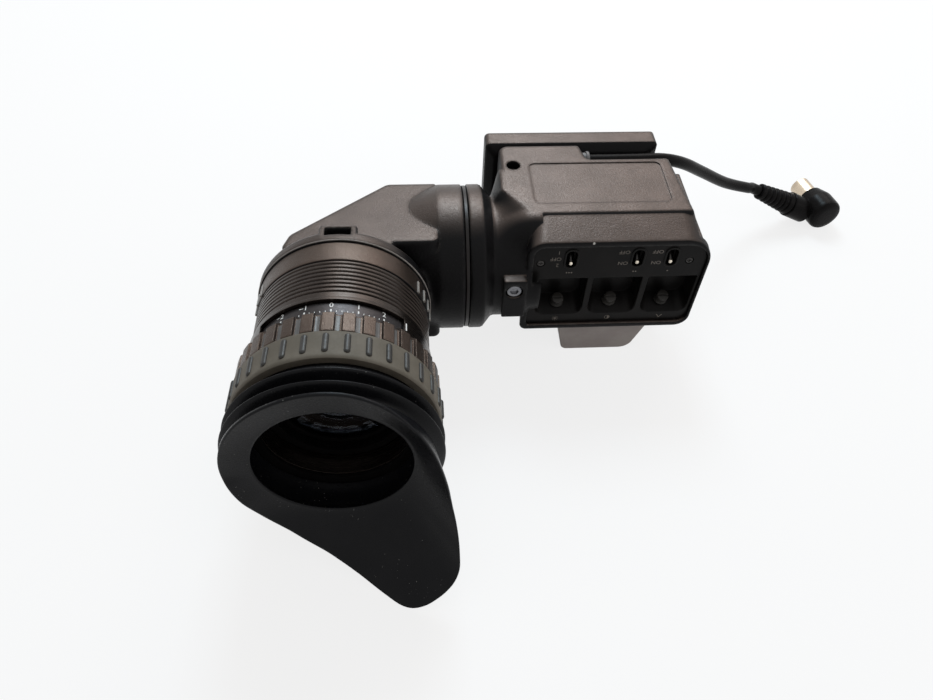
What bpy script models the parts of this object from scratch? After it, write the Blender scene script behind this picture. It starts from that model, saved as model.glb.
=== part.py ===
"""An electronic viewfinder with a swivelling right-angle eyepiece, lying upside down.

Units are metres and +Z is up. The tube axis runs along X through the swivel joint,
the eyepiece points forward (-Y), and every piece hangs from an empty on its own axis.
"""

import math

import bmesh
import bpy
from mathutils import Matrix, Vector

for old in list(bpy.data.objects):
    bpy.data.objects.remove(old, do_unlink=True)

# Where the swivel joint stands over the table
JOINT_X = -0.0064
JOINT_Y = 0.0447
AXIS_HEIGHT = 0.0400

# Shared values
CLEARANCE = 0.0003
OVERRUN = 0.0020
SMALL_BEVEL = 0.0006
EYEPIECE_TILT = 5.38
TURN_STEPS = 30
HIDDEN_STEPS = 20
SMALL_STEPS = 12

# Swivel joint and neck of the display housing
TUBE_RADIUS = 0.0305
JOINT_HALF_GAP = 0.0010
COLLAR_END = 0.0070
NECK_START = 0.0108
NECK_RADIUS = 0.0253
NECK_END = 0.0270
SPIGOT_RADIUS = 0.0261
SPIGOT_LENGTH = 0.0065
NOSE_RADIUS = 0.0223
NOSE_LENGTH = 0.0088
LIGHT_BORE = 0.0190
SHOULDER_BORE = NOSE_RADIUS + CLEARANCE
NECK_BORE = 0.0234
NECK_BORE_END = 0.0232
FUNNEL_BORE = 0.0094
RETAINER_BORE = 0.0195
RETAINER_THICK = 0.0015
WASHER_BORE = 0.0265
WASHER_RADIUS = 0.0300
WASHER_HALF = 0.0007

# Display housing
BODY_LEFT = 0.0160
BODY_RIGHT = 0.0920
BODY_RIGHT_BACK = 0.0890
BODY_TOP = 0.0305
BODY_BOTTOM = -0.0236
BODY_BACK = 0.0370
BODY_STEP_X = 0.0515
BODY_STEP_FOOT_X = 0.0535
BODY_STEP_Y = 0.0272
BODY_FRONT = -0.0090
BODY_SHOULDER_Y = 0.0080
BODY_BEVEL = 0.0022
BODY_CORNER = 0.0040
RAMP_START = 0.0228
RAMP_REACH = 0.0060
BLOCK_FRONT = -0.0220
BLOCK_BACK = -0.0060
BLOCK_LEFT = 0.0236
BLOCK_LEFT_BACK = 0.0256
BLOCK_RIGHT = 0.0982
BLOCK_TOP = 0.0274
BLOCK_TOP_BACK = 0.0302
BLOCK_CORNER_LEFT = 0.0070
BLOCK_CORNER_RIGHT = 0.0125
BLOCK_FOOT_LEFT = 0.0030
BLOCK_FOOT_RIGHT = 0.0060
RIM = 0.0026
RIM_RIGHT = 0.0010
POCKET_BACK = -0.0105
POCKET_LEFT_BACK = 0.0278
CAVITY_RIGHT = 0.0890
CAVITY_LEFT = 0.0290
CAVITY_FRONT = -0.0096
CAVITY_BACK = 0.0245
CAVITY_FLOOR = -0.0210
CAVITY_ROOF = 0.0280
WIRE_WAY_LEFT = 0.0310
WIRE_WAY_RIGHT = 0.0880
WIRE_WAY_LOW = 0.0100
WIRE_WAY_HIGH = 0.0230
LABEL_LEFT = 0.0278
LABEL_RIGHT = 0.0840
LABEL_FRONT = -0.0019
LABEL_BACK = 0.0238
LABEL_DEPTH = 0.0004
LABEL_CORNER = 0.0027
CASING_HOLE_X = 0.0213
CASING_HOLE_Y = 0.0226
CASING_HOLE_RADIUS = 0.0029
CASING_HOLE_DEPTH = 0.0060
CLAMP_X = 0.0189
CLAMP_Z = 0.0054
CLAMP_LEFT = 0.0144
CLAMP_RIGHT = 0.0240
CLAMP_LOW = -0.0098
CLAMP_HIGH = 0.0112
CLAMP_FRONT = -0.0268
CLAMP_BACK = -0.0242
CLAMP_POCKET_RADIUS = 0.0036
CLAMP_POCKET_DEPTH = 0.0020

# End cover on the right
COVER_INNER = BODY_RIGHT + CLEARANCE
COVER_FRONT = -0.0180
COVER_BACK = 0.0230
COVER_TOP = 0.0245
COVER_SHELF = 0.0085
COVER_FOOT = -0.0045
COVER_MIDDLE_X = 0.0967
COVER_MIDDLE_Z = 0.0195
COVER_OUTER = 0.0994
COVER_OUTER_Z = 0.0110
COVER_CREST_X = 0.0939

# Control panel
PANEL_FACE = -0.0206
PANEL_THICK = 0.0020
WELL_FIRST_X = 0.0396
WELL_PITCH = 0.0230
WELL_HALF = 0.0101
WELL_HALF_BACK = 0.0096
WELL_BACK = -0.0117
WELL_TOP = 0.0065
WELL_LOW = -0.0153
WELL_LOW_BACK = -0.0112
WELL_CORNER = 0.0042
WELL_TOP_CORNER = 0.0008
WELL_WALL = 0.0009
SLOT_XS = (0.0415, 0.0685, 0.0822)
SLOT_Z = 0.0175
SLOT_HALF_WIDTH = 0.0022
SLOT_HALF_HEIGHT = 0.0045
SLOT_RIM = 0.0008
SLOT_RIM_HEIGHT = 0.0005
PANEL_SCREW_LEFT_X = 0.0293
PANEL_SCREW_RIGHT_X = 0.0900
PANEL_SCREW_Z = 0.0152
PANEL_SCREW_RADIUS = 0.0015
PANEL_SCREW_HEAD = 0.0010

# Switches
SWITCH_HALF_WIDTH = 0.0036
SWITCH_HALF_HEIGHT = 0.0062
SWITCH_DEPTH = 0.0042
SWITCH_SLOT_HALF = 0.0014
SWITCH_SLOT_REACH = 0.0046
SWITCH_SLOT_DEPTH = 0.0038
LEVER_RADIUS = 0.0009
LEVER_TIP_RADIUS = 0.0011
LEVER_LENGTH = 0.0058
LEVER_PIVOT_Y = PANEL_FACE + 0.0050
LEVER_THROW = 24

# Knobs and trimmers
KNOB_LEAN = 65
KNOB_Y = -0.0152
KNOB_TIP_RADIUS = 0.0025
KNOB_FLANGE_RADIUS = 0.0030
KNOB_FLANGE = 0.0010
KNOB_HEIGHT = 0.0044
KNOB_STEM_RADIUS = 0.0012
KNOB_SLOT_HALF = 0.0004
KNOB_SLOT_DEPTH = 0.0006
TRIMMER_RADIUS = 0.0034
TRIMMER_HEIGHT = 0.0026

# Tally lamp cover
TALLY_LEFT = 0.0410
TALLY_RIGHT = 0.0810
TALLY_FOOT_LEFT = 0.0445
TALLY_FOOT_RIGHT = 0.0752
TALLY_FRONT = -0.0205
TALLY_BACK = -0.0030
TALLY_CORNER = 0.0030
TALLY_CORNER_RIGHT = 0.0062
TALLY_WALL = 0.0016
TALLY_LAMP_RADIUS = 0.0030
TALLY_LAMP_LENGTH = 0.0070
TALLY_LAMP_X = 0.0600

# Mounting plate
PLATE_LEFT = 0.0110
PLATE_RIGHT = 0.0873
PLATE_TOP = 0.0290
PLATE_RIM_FRONT = 0.0400
PLATE_BACK = 0.0475
PLATE_CHAMFER = 0.0038
PLATE_CORNER = 0.0022
PLATE_SCREW_XS = (0.0250, 0.0440)
PLATE_SCREW_ZS = (-0.0120, 0.0140)
PLATE_SCREW_HEAD = 0.0029
PLATE_SCREW_HEAD_HEIGHT = 0.0022
PLATE_SCREW_SHANK = 0.0015
PLATE_SCREW_LENGTH = 0.0160
PLATE_SLOT_HALF_WIDTH = 0.0100
PLATE_SLOT_DEPTH = 0.0025
PLATE_SLOT_X = 0.0680
PLATE_SLOT_TOP = 0.0120

# Picture tube and boards
CRT_FACE = 0.0122
CRT_RADIUS = 0.0185
CRT_BULB_END = 0.0165
CRT_FUNNEL_END = 0.0262
CRT_NECK_RADIUS = 0.0046
CRT_END = 0.0800
BEZEL_RADIUS = NECK_BORE - CLEARANCE
BEZEL_END = 0.0200
YOKE_RADIUS = 0.0090
YOKE_START = 0.0280
YOKE_END = 0.0440
SOCKET_RADIUS = 0.0088
SOCKET_THICK = 0.0016
SOCKET_PIN_RADIUS = 0.0015
SOCKET_PIN_LENGTH = 0.0040
BOARD_LEFT = 0.0300
BOARD_RIGHT = 0.0880
BOARD_THICK = 0.0016
SUPPLY_LEFT = 0.0600
SUPPLY_RIGHT = 0.0860
SUPPLY_FRONT = 0.0080
SUPPLY_BACK = 0.0230
SUPPLY_HEIGHT = 0.0260
CONTROL_BOARD_LEFT = 0.0330
CONTROL_BOARD_RIGHT = 0.0870
CONTROL_BOARD_HALF = 0.0060

# The eyepiece's main round size, which the elbow's flange and box follow
BARREL_RADIUS = 0.0328
BASE_STEP = 0.0003
BASE_RADIUS = BARREL_RADIUS + BASE_STEP

# Elbow
BOX_INSET = 0.0071
BOX_HALF = BASE_RADIUS - BOX_INSET
BOX_BACK = 0.0173
BOX_RIGHT = -0.0060
BOX_BACK_LEFT = -0.0320
BOX_SLANT_X = -0.0690
BOX_SLANT_Y = -0.0165
BOX_LEFT = -0.0720
BOX_FRONT = -0.0265
BOX_STEP_X = -0.0290
BOX_STEP_Y = -0.0228
BOX_WALL = 0.0022
BOX_BEVEL = 0.0020
BOSS_START = -0.0230
BOSS_TAPER_END = -0.0115
BOSS_START_RADIUS = 0.0260
EYE_X = -0.0490
FLANGE_STEP = 0.0009
FLANGE_RADIUS = BASE_RADIUS + FLANGE_STEP
FLANGE_BACK = 0.0262
FLANGE_FRONT = 0.0310
FLANGE_BEVEL = 0.0012
EYE_BORE_WALL = 0.0091
EYE_BORE = BASE_RADIUS - EYE_BORE_WALL
EYE_BORE_STEP = 0.0050
ELBOW_EYE_BORE = EYE_BORE - EYE_BORE_STEP
LUG_LEFT = -0.0563
LUG_RIGHT = -0.0419
LUG_BACK = -0.0212
LUG_FRONT = -0.0300
LUG_RISE = 0.0076
LUG_TOP = BOX_HALF + LUG_RISE
LUG_WALL = 0.0022
LUG_FLOOR_RISE = 0.0008
LUG_FLOOR = BOX_HALF + LUG_FLOOR_RISE
MIRROR_THICK = 0.0015
CARRIER_THICK = 0.0015
CARRIER_LENGTH = 0.0400
CARRIER_ROOM = 0.0035
CARRIER_HALF_HEIGHT = BOX_HALF - CARRIER_ROOM
MIRROR_MARGIN = 0.0010
MIRROR_LENGTH = CARRIER_LENGTH - 2 * MIRROR_MARGIN
MIRROR_HALF_HEIGHT = CARRIER_HALF_HEIGHT - MIRROR_MARGIN

# Flip hinge of the eyepiece
HINGE_OFFSET = 0.0041
HINGE_DROP = BASE_RADIUS + HINGE_OFFSET
HINGE_REACH = FLANGE_FRONT + CLEARANCE / 2
HINGE_RADIUS = 0.0027
HINGE_PIN_RADIUS = 0.0012
KNUCKLE_HALF = 0.0047
EAR_INNER = 0.0051
EAR_OUTER = 0.0092
EAR_ROOT = 0.0250
HINGE_ROOT_INSET = 0.0031
HINGE_ROOT_DROP = BASE_RADIUS - HINGE_ROOT_INSET
KNUCKLE_WEB = 0.0036

# Latch
CATCH_HALF = 0.0048
CATCH_INSET = 0.0017
CATCH_TOP = BASE_RADIUS - CATCH_INSET
CATCH_THICK = 0.0019
CATCH_BACK = 0.0253
CATCH_FRONT = 0.0340
CATCH_TRAVEL = 0.0012
CATCH_NOSE = 0.0012

# Eyepiece
BASE_BACK = FLANGE_FRONT + CLEARANCE
BASE_FRONT = 0.0413
BASE_SOCKET = 0.0348
SPIGOT_INSET = 0.0028
BARREL_SPIGOT = BARREL_RADIUS - SPIGOT_INSET
BARREL_WALL = 0.0068
BARREL_BORE = BARREL_RADIUS - BARREL_WALL
BARREL_TUBE_INSET = 0.0042
BARREL_TUBE = BARREL_RADIUS - BARREL_TUBE_INSET
BARREL_END = 0.0920
GROOVE_COUNT = 8
GROOVE_START = 0.0427
GROOVE_PITCH = 0.0021
GROOVE_WIDTH = 0.0011
GROOVE_DEPTH = 0.0009
HOOD_START = 0.0608
HOOD_RISE = 0.0006
HOOD_RADIUS = BARREL_RADIUS + HOOD_RISE
HOOD_WALL = 0.0009
HOOD_BORE = HOOD_RADIUS - HOOD_WALL
HOOD_FLOOR = 0.0628
HOOD_END = 0.0694
WINDOW_FROM = 43.5
WINDOW_TO = 140
GRIP_COUNT = 4
GRIP_STEP = 8.7
GRIP_FIRST = 2.6
GRIP_HEIGHT = 0.0006
GRIP_HALF_WIDTH = 0.0006
GRIP_BACK = 0.0348
GRIP_FRONT = 0.0410
SCALE_GAP = 0.0004
SCALE_RADIUS = HOOD_BORE - SCALE_GAP
SCALE_START = HOOD_FLOOR + CLEARANCE
SCALE_END = 0.0696
RING_BORE = BARREL_TUBE + CLEARANCE
FLUTE_COUNT = 30
FLUTE_START = SCALE_END + CLEARANCE
FLUTE_END = 0.0807
FLUTE_RISE = 0.0032
FLUTE_RADIUS = BARREL_RADIUS + FLUTE_RISE
FLUTE_NOSE_RISE = 0.0014
FLUTE_NOSE_RADIUS = BARREL_RADIUS + FLUTE_NOSE_RISE
FLUTE_DEPTH = 0.0011
FLUTE_NOSE = 0.0020
FLUTE_TAIL = 0.0007
RIB_COUNT = 30
RIB_RING_START = FLUTE_END + CLEARANCE
RIB_RING_END = 0.0925
RIB_RING_RISE = 0.0035
RIB_RING_RADIUS = BARREL_RADIUS + RIB_RING_RISE
RIB_HEIGHT = 0.0008
RIB_MARGIN = 0.0012
RIB_FRONT_MARGIN = 0.0020
RIB_END = 0.0009
HOLDER_RISE = 0.0002
HOLDER_RADIUS = BARREL_RADIUS + HOLDER_RISE
HOLDER_END = 0.0940
KEEPER_BORE = BARREL_BORE + CLEARANCE
KEEPER_FLANGE = 0.0020
KEEPER_RADIUS = BARREL_TUBE + KEEPER_FLANGE
KEEPER_THICK = 0.0014

# Lens cell
CELL_RADIUS = BARREL_BORE - CLEARANCE
CELL_START = 0.0660
CELL_END = 0.0840
CELL_WALL = 0.0027
CELL_BORE = CELL_RADIUS - CELL_WALL
CELL_LEDGE = 0.0020
CELL_SHOULDER = CELL_BORE - CELL_LEDGE
CELL_SHOULDER_END = 0.0700
LENS_RADIUS = CELL_BORE - CLEARANCE
FIELD_LENS_THICK = 0.0034
FIELD_LENS_CROWN = 0.0008
EYE_LENS_THICK = 0.0066
EYE_LENS_CROWN = 0.0018
SPACER_THICK = 0.0010
SPACER_WALL = 0.0015
SPACER_BORE = LENS_RADIUS - SPACER_WALL

# Eyecup
CUP_BACK = HOLDER_END + CLEARANCE
CUP_BACK_RISE = 0.0015
CUP_BACK_RADIUS = HOLDER_RADIUS + CUP_BACK_RISE
CUP_SEAT = 0.0040
CUP_BACK_BORE = HOLDER_RADIUS - CUP_SEAT
RIDGE_RISE = 0.0026
RIDGE_RADIUS = CUP_BACK_RADIUS + RIDGE_RISE
RIDGE_PITCH = 0.0053
RIDGE_FIRST = 0.0978
VALLEY_DROP = 0.0015
VALLEY_RADIUS = CUP_BACK_RADIUS - VALLEY_DROP
CUP_WALL = 0.0022
CUP_FACE = 0.1070
OPENING_INSET = 0.0026
CUP_OPENING = CUP_BACK_BORE - OPENING_INSET
CUP_LIP = 0.0016
FACE_EDGE_RISE = 0.0017
FACE_EDGE_RADIUS = CUP_BACK_RADIUS + FACE_EDGE_RISE
FACE_EDGE = 0.1077
CUP_STEPS = 52
CUP_CROWDING = 1.3
FLAP_MIDDLE = -65
RIM_ROUND = 0.0004
RIM_DROP = 0.0011
FACE_SAG_SHARE = 0.42
ROOT_RISE = 0.0012
ROOT_STEP = 0.0006
RIM_ANGLES = (
    -175, -166, -152, -137, -121, -110, -99, -91, -84, -79, -74, -69, -65,
    -60, -55, -50, -45, -40, -35, -30, -25, -19, -15, -10, 0, 10,
    20, 30, 40, 50, 60, 75, 90, 105, 120, 135, 150, 165,
)
RIM_REACHES = (
    0.00040, 0.00050, 0.00090, 0.00140, 0.00220, 0.00380, 0.00610, 0.00860, 0.01140, 0.01390,
    0.01670, 0.01950, 0.02070, 0.02110, 0.02070, 0.02000, 0.01890, 0.01680, 0.01350, 0.01040,
    0.00760, 0.00480, 0.00340, 0.00210, 0.00050, -0.00030, -0.00060, -0.00070, -0.00070, -0.00060,
    -0.00040, -0.00020, -0.00010, 0.00000, 0.00010, 0.00010, -0.00010, -0.00020,
)
RIM_LIFTS = (
    0.00020, 0.00070, 0.00105, 0.00100, 0.00230, 0.00420, 0.00680, 0.00980, 0.01330, 0.01650,
    0.02010, 0.02370, 0.02530, 0.02550, 0.02480, 0.02380, 0.02240, 0.02055, 0.01790, 0.01505,
    0.01280, 0.01090, 0.01000, 0.00930, 0.00900, 0.00870, 0.00770, 0.00630, 0.00480, 0.00320,
    0.00180, 0.00070, 0.00055, 0.00100, 0.00160, 0.00180, 0.00150, 0.00080,
)

# Cord, gland and plug
CORD_RADIUS = 0.0027
CORD_SAMPLES = 24
GLAND_Y = 0.0321
GLAND_Z = 0.0252
GLAND_RADIUS = 0.0034
GLAND_START = 0.0478
GLAND_END = 0.0556
GLAND_FLANGE_RADIUS = 0.0040
GLAND_FLANGE_START = 0.0541
CORD_START = GLAND_END + CLEARANCE
CORD_ROUTE = (
    (CORD_START, GLAND_Y, GLAND_Z),
    (0.0620, GLAND_Y, GLAND_Z),
    (0.0760, 0.0320, 0.0253),
    (0.0890, 0.0332, 0.0245),
    (0.1010, 0.0380, 0.0185),
    (0.1145, 0.0460, 0.0075),
    (0.1330, 0.0560, -0.0072),
    (0.1500, 0.0630, -0.0165),
)
RELIEF_START = (0.1573, 0.0646, -0.0200)
RELIEF_AIM = (0.1815, 0.0645, -0.0313)
RELIEF_LENGTH = 0.0200
RELIEF_RADIUS = 0.0040
RELIEF_END_RADIUS = 0.0058
RELIEF_RIBS = 6
RELIEF_GROOVE_SHARE = 0.86
PLUG_CAP = (0.1950, 0.0564, -0.0314)
PLUG_AIM = (0.1892, 0.0828, -0.0314)
PLUG_RADIUS = 0.0085
PLUG_FRONT_RADIUS = 0.0068
PLUG_LENGTH = 0.0165
PLUG_SHELL_RADIUS = 0.0050
PLUG_SHELL_BORE = 0.0040
PLUG_SHELL_LENGTH = 0.0100
PLUG_INSERT_SHARE = 0.55
PLUG_NECK_RADIUS = 0.0064
PLUG_NECK_INTO = 0.0048

MATERIALS = {}


def material(name, colour, roughness, metallic=0.0):
    """A plain Principled material, made once."""
    if name not in MATERIALS:
        made = bpy.data.materials.new(name)
        made.use_nodes = True
        shader = made.node_tree.nodes["Principled BSDF"]
        shader.inputs["Base Color"].default_value = (*colour, 1)
        shader.inputs["Roughness"].default_value = roughness
        shader.inputs["Metallic"].default_value = metallic
        MATERIALS[name] = made
    return MATERIALS[name]


def casting():
    return material("painted_casting", (0.030, 0.026, 0.024), 0.48)


def black_plastic():
    return material("black_plastic", (0.014, 0.013, 0.013), 0.42)


def black_metal():
    return material("black_anodised", (0.030, 0.027, 0.026), 0.40, 0.6)


def soft_rubber():
    return material("soft_rubber", (0.013, 0.013, 0.014), 0.62)


def bare_metal():
    return material("bare_metal", (0.62, 0.58, 0.52), 0.30, 1.0)


def lens_glass():
    return material("lens_glass", (0.75, 0.80, 0.82), 0.06)


def empty(name, parent=None, at=(0, 0, 0), turn=(0, 0, 0)):
    made = bpy.data.objects.new(name, None)
    made.empty_display_size = TUBE_RADIUS
    made.parent = parent
    made.location = at
    made.rotation_euler = [math.radians(angle) for angle in turn]
    bpy.context.scene.collection.objects.link(made)
    return made


def piece(name, mesh, look, parent, at=(0, 0, 0), turn=(0, 0, 0)):
    """A named solid from a bmesh, hung from an empty."""
    bmesh.ops.recalc_face_normals(mesh, faces=mesh.faces)
    data = bpy.data.meshes.new(name)
    mesh.to_mesh(data)
    mesh.free()
    if look:
        data.materials.append(look)
    data.shade_smooth()
    data.set_sharp_from_angle(angle=math.radians(35))
    made = bpy.data.objects.new(name, data)
    made.parent = parent
    made.location = at
    made.rotation_euler = [math.radians(angle) for angle in turn]
    bpy.context.scene.collection.objects.link(made)
    return made


def tool(name, mesh, parent, at=(0, 0, 0), turn=(0, 0, 0)):
    """A hidden solid that a Boolean adds or cuts."""
    made = piece(name, mesh, None, parent, at, turn)
    made.hide_render = True
    made.display_type = "WIRE"
    return made


def boolean(target, other, operation):
    step = target.modifiers.new(other.name, "BOOLEAN")
    step.object = other
    step.operation = operation
    step.solver = "EXACT"


def cut(target, other):
    boolean(target, other, "DIFFERENCE")


def join(target, other):
    boolean(target, other, "UNION")


def bevelled(target, width, segments=2, angle=30):
    step = target.modifiers.new("edges", "BEVEL")
    step.width = width
    step.segments = segments
    step.limit_method = "ANGLE"
    step.angle_limit = math.radians(angle)
    return target


def rounded(points, radii, steps=3):
    """The outline with each corner turned into an arc of its own radius."""
    outline = []
    count = len(points)
    for i, corner in enumerate(points):
        here = Vector(corner)
        back = (Vector(points[i - 1]) - here).normalized()
        ahead = (Vector(points[(i + 1) % count]) - here).normalized()
        radius = radii[i] if isinstance(radii, (list, tuple)) else radii
        if radius <= 0:
            outline.append(tuple(here))
            continue
        half = back.angle(ahead) / 2
        reach = radius / math.tan(half)
        centre = here + (back + ahead).normalized() * radius / math.sin(half)
        first = here + back * reach - centre
        last = here + ahead * reach - centre
        swing = first.angle_signed(last)
        for j in range(steps + 1):
            arm = Matrix.Rotation(-swing * j / steps, 2) @ first
            outline.append(tuple(centre + arm))
    return outline


def rectangle(left, right, low, high):
    return [(left, low), (right, low), (right, high), (left, high)]


def lifted(outline, level, axis):
    """The flat outline as points in space, at a level along one axis."""
    if axis == "X":
        return [Vector((level, a, b)) for a, b in outline]
    if axis == "Y":
        return [Vector((a, level, b)) for a, b in outline]
    return [Vector((a, b, level)) for a, b in outline]


def loft(*rings):
    """A closed solid through rings of equal count, with flat ends."""
    mesh = bmesh.new()
    made = [[mesh.verts.new(point) for point in ring] for ring in rings]
    count = len(made[0])
    for one, two in zip(made, made[1:]):
        for i in range(count):
            j = (i + 1) % count
            mesh.faces.new((one[i], one[j], two[j], two[i]))
    mesh.faces.new(made[0])
    mesh.faces.new(made[-1])
    return mesh


def prism(outline, low, high, axis="Z"):
    """The outline extruded from one level to another."""
    mesh = bmesh.new()
    face = mesh.faces.new([mesh.verts.new(point) for point in lifted(outline, low, axis)])
    grown = bmesh.ops.extrude_face_region(mesh, geom=[face])
    moved = [item for item in grown["geom"] if isinstance(item, bmesh.types.BMVert)]
    along = lifted([(0, 0)], high - low, axis)[0]
    bmesh.ops.translate(mesh, verts=moved, vec=along)
    return mesh


def box(x0, x1, y0, y1, z0, z1):
    return prism(rectangle(x0, x1, y0, y1), z0, z1)


def turned(profile, steps=TURN_STEPS, axis="Z", start=0.0, sweep=360.0):
    """A profile of (radius, place along the axis) spun round an axis."""
    along = {"X": Vector((1, 0, 0)), "Y": Vector((0, 1, 0)), "Z": Vector((0, 0, 1))}[axis]
    out = {"X": Vector((0, 1, 0)), "Y": Vector((1, 0, 0)), "Z": Vector((1, 0, 0))}[axis]
    out = Matrix.Rotation(math.radians(start), 3, along) @ out
    mesh = bmesh.new()
    verts = [mesh.verts.new(out * radius + along * place) for radius, place in profile]
    hollow = all(radius > 0 for radius, _ in profile)
    edges = [mesh.edges.new(pair) for pair in zip(verts, verts[1:])]
    if hollow:
        edges.append(mesh.edges.new((verts[-1], verts[0])))
    whole = sweep == 360
    if not whole:
        mesh.faces.new(verts)
    bmesh.ops.spin(
        mesh,
        geom=verts + edges + list(mesh.faces),
        cent=(0, 0, 0),
        axis=along,
        angle=math.radians(sweep),
        steps=steps,
        use_merge=whole,
    )
    bmesh.ops.remove_doubles(mesh, verts=mesh.verts, dist=1e-7)
    return mesh


def ring(bore, radius, low, high, bevel=0.0, steps=TURN_STEPS, axis="Z"):
    """A plain ring, with its outer corners bevelled."""
    if bevel <= 0:
        return turned([(bore, low), (radius, low), (radius, high), (bore, high)], steps, axis)
    profile = [
        (bore, low),
        (radius - bevel, low),
        (radius, low + bevel),
        (radius, high - bevel),
        (radius - bevel, high),
        (bore, high),
    ]
    return turned(profile, steps, axis)


def rod(radius, low, high, steps=SMALL_STEPS, axis="Z", bevel=0.0):
    """A plain round bar, with its ends bevelled."""
    if bevel <= 0:
        return turned([(0, low), (radius, low), (radius, high), (0, high)], steps, axis)
    profile = [
        (0, low),
        (radius - bevel, low),
        (radius, low + bevel),
        (radius, high - bevel),
        (radius - bevel, high),
        (0, high),
    ]
    return turned(profile, steps, axis)


# The frames that the pieces hang from
part_frame = empty("part_frame", None, (JOINT_X, JOINT_Y, AXIS_HEIGHT))
elbow_axis = empty("elbow_axis", part_frame, turn=(-EYEPIECE_TILT, 0, 0))
flip_axis = empty("flip_axis", elbow_axis, (EYE_X, -HINGE_REACH, -HINGE_DROP), (90, 0, 0))
eyepiece_axis = empty("eyepiece_axis", flip_axis, (0, HINGE_DROP, -HINGE_REACH))


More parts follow.
